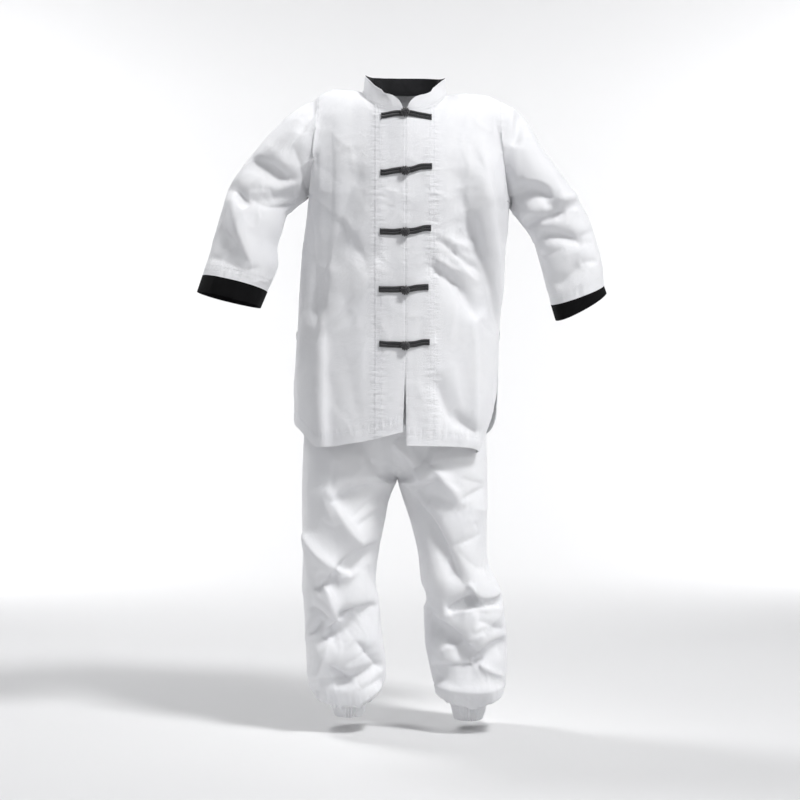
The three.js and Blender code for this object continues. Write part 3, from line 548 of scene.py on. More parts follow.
def share_normals(cloths):
    """Points that lie in one place get one normal, also across a seam."""
    points = np.concatenate([cloth.rows.reshape(-1, 3) for cloth in cloths])
    normals = np.concatenate([cloth.normals.reshape(-1, 3) for cloth in cloths])
    _, group = np.unique(np.round(points * 10).astype(np.int64), axis=0, return_inverse=True)
    group = group.ravel()
    total = np.zeros((group.max() + 1, 3))
    np.add.at(total, group, normals)
    ends = np.cumsum([cloth.rows[..., 0].size for cloth in cloths])
    for cloth, shared in zip(cloths, np.split(unit(total[group]), ends[:-1])):
        cloth.normals = shared.reshape(cloth.rows.shape)


# Folds are creases seen from the front or back. A positive height is a ridge. width is the soft half
# width on the upper or right side and lean multiplies it on the other. bend bows the crease
# sideways, and a low sharpness makes its crest keen.
FOLD = ["x1", "z1", "x2", "z2", "width", "height", "lean", "bend", "sharp"]


def folds_of(rows, sharp=2.0):
    return table(FOLD, [list(row) + [0, sharp][len(row) - 7 :] for row in rows])


JACKET_FRONT = folds_of([
    # wearer's right sleeve
    [-188, 0, -205, -70, 14, -9, 1.6],
    [-305, -140, -212, -186, 15, -10, 1.7],
    [-300, -216, -212, -206, 15, -8, 0.8],
    [-356, -184, -318, -224, 15, -9, 1.4],
    [-345, -200, -312, -335, 17, 9, 1.3],
    [-370, -235, -345, -350, 20, -6, 1.2],
    # wearer's left sleeve
    [236, -36, 222, -100, 16, -9, 0.8],
    [214, -205, 300, -205, 26, -13, 0.9],
    [246, -262, 330, -236, 14, -7, 0.7],
    [296, -212, 350, -204, 15, 7, 0.8],
    [278, -284, 350, -298, 15, -7, 0.8],
    [305, -385, 355, -350, 18, -5, 1.2],
    # wearer's right front
    [-165, -90, -182, -400, 24, -9, 1.3],
    [-98, -170, -148, -330, 30, -9, 1.4],
    [-66, -355, -172, -470, 24, 7, 1.2],
    [-170, -470, -166, -706, 15, 9, 2.2],
    [-130, -300, -70, -340, 20, -5, 1.2],
    # wearer's left front
    [112, -190, 150, -420, 26, -9, 1.2],
    [152, -130, 186, -430, 16, 8, 1.4],
    [132, -270, 182, -455, 22, -8, 1.1],
    [50, -340, 146, -430, 20, -8, 1.4],
    [142, -470, 144, -690, 18, 6, 1.3],
    [66, -575, 100, -660, 20, -6, 1.2],
    [100, -650, 150, -690, 15, -6, 1.2],
])
JACKET_BACK = folds_of([
    [-170, -95, -150, -420, 26, -9, 1.2],
    [-120, -150, -95, -470, 30, -7, 1.3],
    [176, -110, 152, -430, 26, -9, 1.2],
    [112, -170, 100, -480, 28, -6, 1.3],
    [-188, -470, -176, -640, 22, 6, 1.2],
    [168, -480, 158, -640, 22, 6, 1.2],
    [-310, -150, -215, -196, 18, -9, 1.3],
    [-352, -200, -262, -262, 16, -8, 1.2],
    [-370, -290, -290, -330, 16, -6, 1.2],
    [300, -150, 222, -204, 18, -9, 1.3],
    [345, -220, 272, -272, 16, -8, 1.2],
    [372, -300, 296, -352, 16, -6, 1.2],
])
TROUSER_FRONT = folds_of([
    # wearer's right leg
    [-142, -822, -48, -786, 16, -11, 2.0],
    [-152, -800, -92, -908, 18, 9, 1.5],
    [-204, -895, -120, -976, 20, 9, 1.6],
    [-166, -992, -62, -930, 18, -11, 1.7],
    [-160, -1000, -128, -1070, 16, 9, 1.3],
    [-158, -1100, -64, -1046, 16, -11, 1.8],
    [-156, -1105, -186, -1192, 22, 7, 1.3],
    [-182, -1194, -52, -1166, 20, -8, 1.5],
    [-18, -680, -18, -772, 27, -15, 1.0],
    # wearer's left leg
    [4, -704, 48, -782, 12, 8, 1.5],
    [14, -806, 108, -822, 20, -10, 1.4],
    [60, -760, 112, -824, 16, 8, 1.3],
    [0, -812, 104, -972, 20, -10, 1.3],
    [134, -1010, 196, -1018, 14, -11, 2.0],
    [92, -1046, 148, -1018, 16, -9, 1.5],
    [38, -1052, 146, -1142, 18, -12, 1.6],
    [148, -1146, 204, -1116, 15, -8, 1.4],
    [62, -1172, 190, -1170, 20, -8, 1.4],
])
TROUSER_BACK = folds_of([
    [-140, -826, -40, -792, 20, -10, 1.6],
    [-190, -930, -80, -900, 22, -7, 1.4],
    [-186, -1010, -70, -1030, 18, -10, 1.5],
    [-170, -1060, -80, -1100, 18, 8, 1.4],
    [-180, -1180, -60, -1150, 20, -8, 1.5],
    [110, -826, 0, -792, 20, -10, 1.6],
    [160, -930, 50, -900, 22, -7, 1.4],
    [180, -1016, 62, -1036, 18, -10, 1.5],
    [170, -1070, 70, -1100, 18, 8, 1.4],
    [190, -1180, 70, -1150, 20, -8, 1.5],
])

# Smaller creases on top of those, placed where the front shows them
JACKET_FRONT_CREASES = folds_of([
    # wearer's right sleeve
    [-189, 4, -187, -38, 6, -3, 1.5],
    [-187, -27, -234, -108, 8, -4, 1.6, 7],
    [-306, -132, -244, -168, 9, -6, 2.2, 5],
    [-222, -116, -197, -200, 11, -6, 1.5, 4],
    [-362, -178, -318, -221, 9, -6, 2.0, 4],
    [-303, -216, -207, -209, 8, -5, 1.8, -16],
    [-346, -196, -312, -335, 9, 5, 1.8, -7],
    [-365, -276, -316, -336, 8, -4, 1.7, 4],
    [-262, -196, -214, -178, 7, 4, 1.5, 3],
    [-392, -330, -330, -352, 8, -3, 1.6, 3],
    # wearer's left sleeve
    [236, -38, 222, -100, 8, -4, 1.6],
    [214, -206, 300, -216, 12, -7, 2.0, 16],
    [292, -216, 340, -209, 7, 5, 1.8],
    [320, -239, 348, -239, 6, 3, 1.6],
    [244, -260, 324, -238, 8, -5, 1.8],
    [278, -281, 348, -300, 8, -5, 1.8, 4],
    [350, -291, 378, -278, 6, -3, 1.6],
    [346, -304, 374, -298, 6, -3, 1.6],
    [352, -342, 384, -339, 6, -3, 1.6],
    [310, -384, 344, -352, 7, -3, 1.6],
    # wearer's right front
    [-149, -90, -172, -420, 14, -4, 1.8, 8],
    [-100, -184, -144, -340, 18, -5, 1.6, -8],
    [-64, -360, -164, -478, 11, 5, 1.8, 6],
    [-165, -480, -162, -708, 6, 5, 3.2],
    [-190, -240, -180, -470, 12, -4, 1.5],
    # wearer's left front
    [112, -214, 149, -322, 10, -5, 1.7],
    [159, -152, 188, -370, 9, 4, 1.7, 4],
    [128, -279, 186, -454, 9, -5, 1.9, 6],
    [54, -354, 138, -438, 9, -5, 1.9, 12],
    [64, -590, 88, -650, 9, -4, 1.6],
    [105, -656, 143, -681, 8, -4, 1.6],
    [140, -484, 141, -706, 8, 5, 2.0],
    [62, -300, 104, -330, 6, -4, 1.6, 4],
    [84, -296, 132, -318, 5, 3, 1.5],
    [98, -322, 134, -352, 5, -4, 1.6],
    [66, -338, 112, -356, 6, 4, 1.6, -4],
    [108, -352, 144, -380, 5, 3, 1.5],
    [72, -376, 100, -384, 5, -3, 1.5],
], 1.35)
TROUSER_FRONT_CREASES = folds_of([
    # wearer's right leg
    [-138, -818, -50, -787, 8, -6, 2.4, 6],
    [-102, -848, -45, -809, 8, -5, 1.8, 4],
    [-92, -867, -50, -841, 7, -4, 1.7],
    [-149, -806, -87, -903, 8, 5, 1.8, -6],
    [-205, -886, -118, -966, 9, 6, 1.8, -9],
    [-164, -986, -62, -912, 9, -7, 2.2, 9],
    [-165, -984, -136, -1064, 8, 5, 1.8, 5],
    [-126, -1043, -62, -1034, 8, -5, 1.7],
    [-156, -1093, -114, -1050, 9, -7, 2.2, 4],
    [-186, -1032, -139, -1063, 8, -4, 1.7],
    [-154, -1093, -186, -1184, 9, 5, 1.7, 5],
    [-151, -1150, -112, -1182, 7, -4, 1.6],
    [-92, -1106, -50, -1156, 8, -5, 1.7, 4],
    [-184, -1182, -46, -1153, 8, -5, 2.0, -9],
    [-70, -960, -52, -1030, 7, -4, 1.6],
    [-196, -1090, -170, -1060, 7, -4, 1.6],
    # wearer's left leg
    [-15, -708, 29, -774, 6, 5, 1.8, 9],
    [47, -748, 108, -818, 8, 5, 1.8, 4],
    [14, -805, 62, -781, 7, -5, 1.8],
    [110, -817, 158, -795, 8, -3, 1.6],
    [-5, -797, 102, -963, 9, -6, 1.9, 12],
    [93, -909, 148, -890, 8, -3, 1.6],
    [130, -988, 188, -1004, 6, 6, 2.0, -10],
    [142, -1011, 90, -1033, 7, -5, 1.8],
    [66, -1055, 181, -1041, 8, 4, 1.7, 6],
    [37, -1044, 142, -1132, 9, -7, 2.2, 6],
    [144, -1138, 198, -1104, 7, -5, 1.8, 6],
    [60, -1157, 138, -1146, 7, -4, 1.7],
    [144, -1146, 194, -1175, 7, 4, 1.7],
    [80, -1120, 150, -1090, 7, 4, 1.6],
    [150, -1060, 200, -1080, 8, -4, 1.6],
    [58, -1190, 190, -1196, 10, 4, 1.4, -8],
    # the rise, drawn in towards the crotch
    [-30, -790, -78, -806, 10, -2, 1.4, 5],
    [0, -792, 44, -818, 9, -2, 1.4, 4],
    # the cloth that hangs over each ankle band
    [-176, -1212, -140, -1224, 7, 5, 1.8],
    [-140, -1224, -96, -1222, 7, 5, 1.8],
    [-96, -1222, -52, -1196, 7, 5, 1.8],
    [70, -1204, 134, -1226, 7, 5, 1.8],
    [134, -1226, 190, -1206, 7, 5, 1.8],
], 1.2)


def scattered(count, x, z, angle, spread, length, width, height):
    """Small uneven creases over a region, at angles in degrees from level."""
    rows = []
    for _ in range(count):
        cx, cz = rng.uniform(*x), rng.uniform(*z)
        a = math.radians(rng.normal(angle, spread))
        half = rng.uniform(*length) / 2
        size = rng.uniform(*height) * (1 if rng.random() < 0.45 else -1)
        dx, dz = half * math.cos(a), half * math.sin(a)
        bend = rng.normal(0, 0.09) * half
        soft, lean = rng.uniform(*width), rng.uniform(1.1, 2.4)
        rows.append([cx - dx, cz - dz, cx + dx, cz + dz, soft, size, lean, bend])
    return folds_of(rows, 1.4)


def mirrored(rows):
    return [{**f, "x1": -f["x1"], "x2": -f["x2"], "bend": -f["bend"]} for f in rows]


SLEEVE_CREASES = [
    *scattered(14, (-330, -215), (-240, -90), -35, 16, (30, 75), (5, 9), (1.5, 4)),
    *scattered(10, (-385, -270), (-350, -230), -62, 22, (30, 80), (5, 9), (1.5, 3.5)),
]
JACKET_FRONT_CREASES += [
    *scattered(16, (-195, -75), (-470, -120), -75, 16, (50, 130), (7, 14), (0.8, 2.2)),
    *scattered(16, (75, 190), (-470, -120), -68, 16, (50, 130), (7, 14), (0.8, 2.2)),
    *scattered(12, (62, 150), (-400, -280), -30, 30, (20, 50), (4, 6.5), (1.2, 2.8)),
    *scattered(14, (-58, 58), (-650, -100), 8, 22, (14, 34), (4, 7), (0.6, 1.5)),
    *scattered(14, (-200, 180), (-690, -480), -84, 18, (40, 110), (6, 12), (0.7, 1.8)),
    *scattered(7, (-330, -215), (-240, -110), -35, 16, (25, 60), (5, 8), (1, 2.2)),
    *scattered(7, (215, 350), (-330, -150), 12, 20, (25, 60), (5, 8), (1, 2.4)),
]
JACKET_BACK_CREASES = [
    *SLEEVE_CREASES,
    *mirrored(SLEEVE_CREASES),
    *scattered(34, (-190, 190), (-640, -120), 86, 14, (60, 190), (8, 16), (1.2, 3.6)),
    *scattered(14, (-190, -60), (-420, -140), 60, 18, (50, 120), (7, 12), (1.2, 3)),
    *scattered(14, (60, 190), (-420, -140), -60, 18, (50, 120), (7, 12), (1.2, 3)),
]
LEG_CREASES = [
    *scattered(20, (-200, -55), (-1190, -800), -28, 18, (35, 100), (6, 11), (1.5, 4)),
    *scattered(20, (-200, -55), (-1190, -800), 32, 18, (35, 100), (6, 11), (1.5, 4)),
]
TROUSER_FRONT_CREASES += [
    *scattered(20, (-200, -55), (-1200, -740), 30, 30, (25, 80), (5, 10), (0.8, 2.2)),
    *scattered(20, (30, 195), (-1200, -740), -30, 30, (25, 80), (5, 10), (0.8, 2.2)),
]
TROUSER_BACK_CREASES = [*LEG_CREASES, *mirrored(LEG_CREASES)]
FOLDS = {
    "jacket": [(JACKET_FRONT, JACKET_BACK), (JACKET_FRONT_CREASES, JACKET_BACK_CREASES)],
    "trousers": [(TROUSER_FRONT, TROUSER_BACK), (TROUSER_FRONT_CREASES, TROUSER_BACK_CREASES)],
}
CREASE_DEPTH = {"jacket": 1.35, "trousers": 1.8}  # how deep the smaller creases go
CALF_Z = -900  # the trousers' folds get deeper below it


def fold_height(folds, x, z):
    height = np.zeros_like(x)
    for f in folds:
        ax, az = f["x2"] - f["x1"], f["z2"] - f["z1"]
        length = math.hypot(ax, az)
        reach = 3.2 * f["width"] * max(1, f["lean"]) + abs(f["bend"])
        near = np.hypot(x - (f["x1"] + ax / 2), z - (f["z1"] + az / 2)) < 0.66 * length + reach
        fx, fz = x[near] - f["x1"], z[near] - f["z1"]
        t = (fx * ax + fz * az) / length**2
        within = np.clip(t, 0, 1)
        off = (ax * fz - az * fx) / length - f["bend"] * 4 * within * (1 - within)
        width = np.where(off > 0, f["width"], f["width"] * f["lean"])
        fade = np.maximum(0, 1 - abs((2 * t - 1) / 1.3) ** 4)
        height[near] += f["height"] * fade * np.exp(-((abs(off) / width) ** f["sharp"]))
    return height


GRADIENTS = unit(rng.normal(size=(256, 3)))
SHUFFLE = rng.permutation(256)


def noise(points, size, seed=0):
    """Smooth noise from about -1 to 1, whose lumps are size millimetres across."""
    p = points / np.asarray(size, float) + seed * 17.31
    cell = np.floor(p).astype(int)
    f = p - cell
    w = f * f * f * (f * (f * 6 - 15) + 10)
    total = np.zeros(p.shape[:-1])
    for corner in range(8):
        d = np.array([corner & 1, corner >> 1 & 1, corner >> 2 & 1])
        c = (cell + d) % 256
        g = GRADIENTS[SHUFFLE[(SHUFFLE[(SHUFFLE[c[..., 0]] + c[..., 1]) % 256] + c[..., 2]) % 256]]
        weight = np.prod(np.where(d, w, 1 - w), axis=-1)
        total += weight * (g * (f - d)).sum(-1)
    return total * 1.6


def add_folds(cloth, level):
    if not cloth.folds:
        return
    n = cloth.normals
    x, z = cloth.rows[..., 0], cloth.rows[..., 2]
    facing = smooth((abs(n[..., 1]) - 0.05) / 0.45)
    front, back = FOLDS[cloth.folds][level]
    depth = CREASE_DEPTH[cloth.folds] if level else 1
    if cloth.folds == "trousers":
        depth = depth * (1 + 0.4 * smooth((CALF_Z - z) / 120))
    height = facing * np.where(n[..., 1] < 0, fold_height(front, x, z), fold_height(back, x, z)) * depth
    if level:
        # cloth is never quite even: long soft waves down the piece, and a few faint keen ones
        height += 1.5 * noise(cloth.rows, (70, 70, 150), 1) + 0.7 * noise(cloth.rows, (30, 30, 55), 2)
        vein = 1 - abs(noise(cloth.rows + 14 * noise(cloth.rows, 60, 4)[..., None], (75, 75, 120), 3))
        height += 1.1 * np.maximum(0, vein) ** 9 * np.clip(1 + 2 * noise(cloth.rows, 130, 5), 0, 1.5)
    cloth.rows = cloth.rows + n * height[..., None]


def pucker(along, length):
    """Uneven little waves beside a row of stitches."""
    phase = 2 * np.pi * along / length + 2.2 * np.sin(along / 37 + 1.3) + 1.6 * np.sin(along / 91)
    return np.sin(phase) * (0.6 + 0.4 * np.sin(along / 53 + 0.7))


def spread_from(rows, axis, index):
    """How far each point lies from the grid line at index, measured over the cloth."""
    step = np.linalg.norm(np.diff(rows, axis=axis), axis=2)
    total = np.concatenate([np.zeros_like(np.take(step, [0], axis)), np.cumsum(step, axis)], axis)
    return total - np.take(total, [index], axis)


# Cloth.seam keeps how near an upright and a level seam is, and how crumpled the cloth is.
UPRIGHT, LEVEL, SMALL = 0, 1, 2
GROOVE_REACH = 3.2

# where the cloth is crumpled small: x, z, how far it reaches across and down, how much
CRUMPLED = {
    "jacket": [
        (88, -300, 40, 60, 0.5), (118, -345, 40, 55, 0.5), (0, -230, 52, 190, 0.18),
        (-105, -335, 40, 60, 0.22), (20, -440, 60, 60, 0.16), (-262, -200, 50, 45, 0.12),
        (300, -230, 50, 60, 0.2), (100, -640, 60, 60, 0.15), (-80, -650, 60, 60, 0.15),
        (0, 0, 80, 45, 0.2),
    ],
    "trousers": [
        (-70, -880, 50, 90, 0.16), (100, -1010, 60, 90, 0.18), (-90, -1090, 60, 70, 0.2),
        (-100, -1225, 60, 20, 0.8), (135, -1225, 60, 20, 0.8), (20, -790, 60, 40, 0.3),
    ],
}


def crumple(cloth):
    x, z = cloth.rows[..., 0], cloth.rows[..., 2]
    for cx, cz, across, down, much in CRUMPLED[cloth.folds]:
        near = much * np.exp(-(((x - cx) / across) ** 2) - ((z - cz) / down) ** 2)
        cloth.seam[..., SMALL] = np.maximum(cloth.seam[..., SMALL], near)


def sew(cloth, lies, distance, along, size, length=14, reach=9, groove=0.7, where=1):
    """Pulls the cloth in along an upright or a level seam, with puckers on both sides of it.

    size and length are the puckers', reach is how far they spread and groove how deep the seam is.
    """
    near = np.exp(-((distance / reach) ** 2))
    line = np.exp(-((distance / GROOVE_REACH) ** 2))
    height = (size * near * pucker(along, length) - groove * line) * where
    cloth.rows = cloth.rows + cloth.normals * height[..., None]
    cloth.seam[..., lies] = np.maximum(cloth.seam[..., lies], near * where * min(1, size * 1.3))


# ---- the pieces ----
PANEL_HEM_ROWS, SLEEVE_HEM_ROWS, HEM_EXTRA = 6, 5, 0.9


def hem_walls(shape, hem_rows):
    walls = np.full(shape, CLOTH)
    walls[-hem_rows:] += HEM_EXTRA
    return walls


coarse = {(side, face): panel_rows(side, face) for side in SIDES for face in FACES}
for side in SIDES:
    coarse[side, "front"] = ease(coarse[side, "front"], True)
centre = (coarse["right", "front"][:EASED_ROWS, 0] + coarse["left", "front"][:EASED_ROWS, 0]) / 2
for side in SIDES:
    coarse[side, "front"][:EASED_ROWS, 0] = centre
back_coarse = np.concatenate([coarse["right", "back"][:, ::-1], coarse["left", "back"][:, 1:]], 1)
back_coarse = ease(back_coarse, False)

# fine rows and columns where the armhole, the joined front, the side seam and the neck end
ARM_END = UPPER * ARMHOLE_ROWS
CENTRE_END = ARM_END + LOWER * 3
SEAM_END = ARM_END + LOWER * SEAM_ROWS
NECK_END = sum(HALF_STEPS[: len(NECK_COLUMNS) - 1])
HALF = sum(HALF_STEPS)
fronts = {side: refine(coarse[side, "front"], ROW_STEPS, HALF_STEPS) for side in SIDES}
back_rows = refine(back_coarse, ROW_STEPS, HALF_STEPS[::-1] + HALF_STEPS)
half_backs = {"right": back_rows[:, HALF::-1], "left": back_rows[:, HALF:]}
# The back shares its shoulder and side seams with the fronts, point for point.
for side, half_back in half_backs.items():
    half_back[0, NECK_END:] = fronts[side][0, NECK_END:]
    half_back[ARM_END : SEAM_END + 1, -1] = fronts[side][ARM_END : SEAM_END + 1, -1]
mid = (fronts["right"][:CENTRE_END, 0] + fronts["left"][:CENTRE_END, 0]) / 2
for side in SIDES:
    fronts[side][:CENTRE_END, 0] = mid

panels = {"back": back_rows, "front_right": fronts["right"], "front_left": fronts["left"]}
jacket = {}
for name, rows in panels.items():
    jacket[name] = Cloth(name, rows, False, "jacket", hem_walls(rows.shape[:2], PANEL_HEM_ROWS))
for side in SIDES:
    back_edge = half_backs[side][1:ARM_END, -1]
    armhole = np.concatenate([fronts[side][: ARM_END + 1, -1], back_edge[::-1]])
    rows = np.array([armhole[::UPPER]] + [sleeve_ring(s) for s in SLEEVES[side]])
    around = [UPPER] * (2 * ARMHOLE_ROWS)
    fine = refine(rows, [SLEEVE_STEPS] * len(SLEEVES[side]), around, closed=True)
    fine[0] = armhole
    name, walls = "sleeve_" + side, hem_walls(fine.shape[:2], SLEEVE_HEM_ROWS)
    jacket[name] = Cloth(name, fine, True, "jacket", walls)
    last, end = SLEEVES[side][-1], CUFF_ENDS[side]
    between = {k: mix(last[k], end[k], 0.5) for k in SLEEVE_COLUMNS}
    rings = [sleeve_ring(section) for section in (last, between, end)]
    rings = refine(rings, [CUFF_STEPS] * 2, around, closed=True)
    jacket["cuff_" + side] = Cloth("cuff_" + side, rings, True, "jacket")


LOBE = 36  # how far the collar's round corner reaches from its front edge
# by side: how much lower the lobe stands, how far back that goes, and the length of its rise after
LOBE_DROPS = {-1: (4.5, 47, 7), 1: (5.5, 60, 9)}
COLLAR_STEPS, COLLAR_LEAN = 10, 0.12


def collar_rows():
    base = np.concatenate([
        fronts["right"][0, : NECK_END + 1],
        back_rows[0, HALF - NECK_END + 1 : HALF + NECK_END],
        fronts["left"][0, : NECK_END + 1][::-1],
    ])
    along = lengths_along(base)
    from_front = np.minimum(along, along[-1] - along)
    corner = np.maximum(0, 1 - np.maximum(0, from_front - 5) / LOBE)
    height = COLLAR_HEIGHT * np.maximum(0.06, np.sqrt(np.maximum(0, 1 - corner**2)))
    for sign, (drop, back, way) in LOBE_DROPS.items():
        lower = np.where(sign * base[:, 0] > 0, drop * (1 - smooth((from_front - back) / way)), 0)
        height -= lower * (1 - corner)
    flat = np.hypot(base[:, 0], base[:, 1])
    rows = []
    for k in range(COLLAR_STEPS, -1, -1):
        up = k / COLLAR_STEPS * height
        inward = COLLAR_LEAN * up / flat
        rows.append(base + np.stack([-inward * base[:, 0], -inward * base[:, 1], up], 1))
    return np.array(rows)


jacket["collar"] = Cloth("collar", collar_rows(), folds="jacket")

trousers = {}
leg_steps = [LEG_DOWN] * (len(LEG_HEIGHTS) - 1) + [4]
for side in SIDES:
    grid = [[trouser_point(side, c, z) for c in range(LEG_COLUMNS + 1)] for z in LEG_HEIGHTS]
    grid.append(leg_end(side, LEG_COLUMNS + 1))
    name = "leg_" + side
    grid = refine(grid, leg_steps, [LEG_ACROSS] * LEG_COLUMNS)
    trousers[name] = Cloth(name, grid, folds="trousers")

# each leg turns in to its ankle band in a soft curve
BLOUSE_Z, BLOUSE_DROP = -1192, 24
for leg in trousers.values():
    p = leg.rows
    first = int(np.argmax(p[:, 0, 2] < BLOUSE_Z))
    bend, end = p[first] + BLOUSE_DROP * unit(p[first] - p[first - 1]), p[-1]
    t = np.linspace(0, 1, len(p) - first)[:, None, None]
    leg.rows[first:] = (1 - t) ** 2 * p[first] + 2 * t * (1 - t) * bend + t * t * end


RISE_END_Z = CROTCH_Z + 4


def join_rise():
    """Both legs share the seam above the crotch, in front and behind."""
    right, left = trousers["leg_right"], trousers["leg_left"]
    for column in (0, -1):
        near = (right.rows[:, column, 2] > RISE_END_Z) & (left.rows[:, column, 2] > RISE_END_Z)
        place = (right.rows[near, column] + left.rows[near, column]) / 2
        normal = unit(right.normals[near, column] + left.normals[near, column])
        for leg in (right, left):
            leg.rows[near, column] = place
            leg.normals[near, column] = normal


RELAXED, SMALL_RELAXED = 30, 4
for group in (jacket, trousers):
    cloths = list(group.values())
    for cloth in cloths:
        cloth.find_normals()
        cloth.relax(SMALL_RELAXED if cloth.name.startswith(("cuff", "collar")) else RELAXED)
    for level in (0, 1, None):
        for cloth in cloths:
            cloth.find_normals()
        share_normals(cloths)
        if group is trousers:
            join_rise()
        if level is not None:
            for cloth in cloths:
                add_folds(cloth, level)

# the armhole is one even line, shared by the sleeve, the front and the back
ARM_EASE, ARM_PASSES = 12, 40
for side in SIDES:
    sleeve = jacket["sleeve_" + side]
    ring = sleeve.rows[0].copy()
    for _ in range(ARM_PASSES):
        ring += 0.5 * ((np.roll(ring, 1, 0) + np.roll(ring, -1, 0)) / 2 - ring)
    move = ring - sleeve.rows[0]
    fade = 1 - smooth(np.arange(ARM_EASE) / ARM_EASE)
    sleeve.rows[:ARM_EASE] += fade[:, None, None] * move
    front_move = move[: ARM_END + 1]
    back_move = np.concatenate([move[:1], move[ARM_END:][::-1]])
    for name, moves in (("front_" + side, front_move), ("back", back_move)):
        rows = jacket[name].rows
        if name == "back" and side == "right":
            rows = rows[:, ::-1]
        moves = np.concatenate([moves, fade[1:, None] * moves[-1]])
        for k, much in enumerate(fade):
            rows[: len(moves), -1 - k] += much * moves
for cloth in jacket.values():
    cloth.find_normals()
share_normals(list(jacket.values()))

# ---- seams and their puckers ----
BAND_EDGE = sum(HALF_STEPS[:4])
BAND_STITCH = 12
SLIT_STITCH = 11
SLEEVE_HEM = (4, 13, 22)
HEM_STITCH = 24
PLEATS, SMALL_PLEATS, PLEAT_DEPTH = 23, 37, 4.6
for name in ("front_right", "front_left", "back"):
    cloth = jacket[name]
    rows = cloth.rows
    z = rows[..., 2]
    row = np.arange(rows.shape[0])[:, None]
    below = smooth((row - SEAM_END) / 6)
    across = spread_from(rows, 1, 0)
    from_hem = -spread_from(rows, 0, rows.shape[0] - 1)
    if name != "back":
        from_band = spread_from(rows, 1, BAND_EDGE)
        sew(cloth, UPRIGHT, from_band, z, 0.9, 13, 9, 0.5)
        sew(cloth, UPRIGHT, from_band + BAND_STITCH, z, 0.7, 16, 9, 0.35)
        sew(cloth, UPRIGHT, across, z, 0.4, 17, 8, 0.9)
    sew(cloth, LEVEL, from_hem - HEM_STITCH, across, 0.6, 15, 10, 1.1)
    for edge in ([-1] if name != "back" else [0, -1]):
        aside = abs(spread_from(rows, 1, rows.shape[1] - 1 if edge else 0))
        sew(cloth, UPRIGHT, aside, z, 0.5, 19, 8, 0.8, 1 - below)
        sew(cloth, UPRIGHT, aside - SLIT_STITCH, z, 0.5, 14, 7, 0.5, below)
    down = spread_from(rows, 0, 0)
    shoulder = smooth((abs(rows[..., 0]) - NECK_HALF_WIDTH) / 40)
    sew(cloth, LEVEL, down, rows[..., 0], 0.5, 17, 8, 0.7, shoulder)
for side in SIDES:
    cloth = jacket["sleeve_" + side]
    rows = cloth.rows
    top = np.broadcast_to(rows[:1, :, 2], rows.shape[:2])
    around = spread_from(rows, 1, 0)
    sew(cloth, UPRIGHT, spread_from(rows, 0, 0), top, 0.3, 19, 8, 0.15)
    end = -spread_from(rows, 0, rows.shape[0] - 1)
    for line in SLEEVE_HEM:
        sew(cloth, LEVEL, end - line, around, 0.35, 14, 6, 0.4)
    leg = trousers["leg_" + side]
    rows = leg.rows
    for column in (0, LEG_ACROSS * LEG_COLUMNS // 2, LEG_ACROSS * LEG_COLUMNS):
        below = smooth((rows.shape[0] - 10 - np.arange(rows.shape[0])[:, None]) / 14)
        sew(leg, UPRIGHT, spread_from(rows, 1, column), rows[..., 2], 0.7, 18, 9, 1.0, below)
    # small pleats that run up from the ankle band
    end = -spread_from(rows, 0, rows.shape[0] - 1)
    turn = np.linspace(0, 2 * np.pi, rows.shape[1])[None, :]
    wave = np.sin(PLEATS * turn + 2.1 * np.sin(3 * turn) + 0.04 * end)
    wave *= 0.65 + 0.35 * np.sin(7 * turn + 1)
    wave += 0.35 * np.sin(SMALL_PLEATS * turn - 1.7 * np.sin(2 * turn) - 0.05 * end)
    gather = PLEAT_DEPTH * wave * np.exp(-end / 25) * smooth(end / 5)
    leg.rows = rows + leg.normals * gather[..., None]
collar = jacket["collar"]
rows = collar.rows
from_base = -spread_from(rows, 0, rows.shape[0] - 1)
around = spread_from(rows, 1, 0)
limp = smooth(from_base / 14)
sag = 1.5 * noise(rows, (26, 26, 44), 6) + 0.7 * noise(rows, (12, 12, 22), 7)
collar.rows = rows + collar.normals * (sag * limp)[..., None]
sew(collar, LEVEL, from_base - 5, around, 0.35, 9, 6, 0.3, limp)
for group in (jacket, trousers):
    for cloth in group.values():
        cloth.find_normals()
        crumple(cloth)
    share_normals(list(group.values()))
join_rise()


# ---- materials ----
def new_material(name):
    """An empty material, and a function that adds a node and links those inputs that are sockets."""
    m = bpy.data.materials.new(name)
    m.use_nodes = True
    m.node_tree.nodes.clear()

    def add(kind, inputs=None, **settings):
        node = m.node_tree.nodes.new("ShaderNode" + kind)
        for key, value in settings.items():
            setattr(node, key, value)
        for key, value in (inputs or {}).items():
            if isinstance(value, bpy.types.NodeSocket):
                m.node_tree.links.new(value, node.inputs[key])
            else:
                node.inputs[key].default_value = value
        return node

    return m, add


def surface(add, inputs):
    skin = add("BsdfPrincipled", inputs)
    add("OutputMaterial", {"Surface": skin.outputs[0]})


# strength and distance of the bumps: crumples, puckers at the seams, and the weave's own distances
CRUMPLE_BUMP, SEAM_BUMP, THREAD_BUMP, RIB_BUMP = (0.3, 0.004), (0.9, 0.002), 0.0006, 0.0005
RIDGES = [("SUBTRACT", 0.5), ("ABSOLUTE", 0), ("MULTIPLY", -7), ("ADD", 1), ("MAXIMUM", 0)]


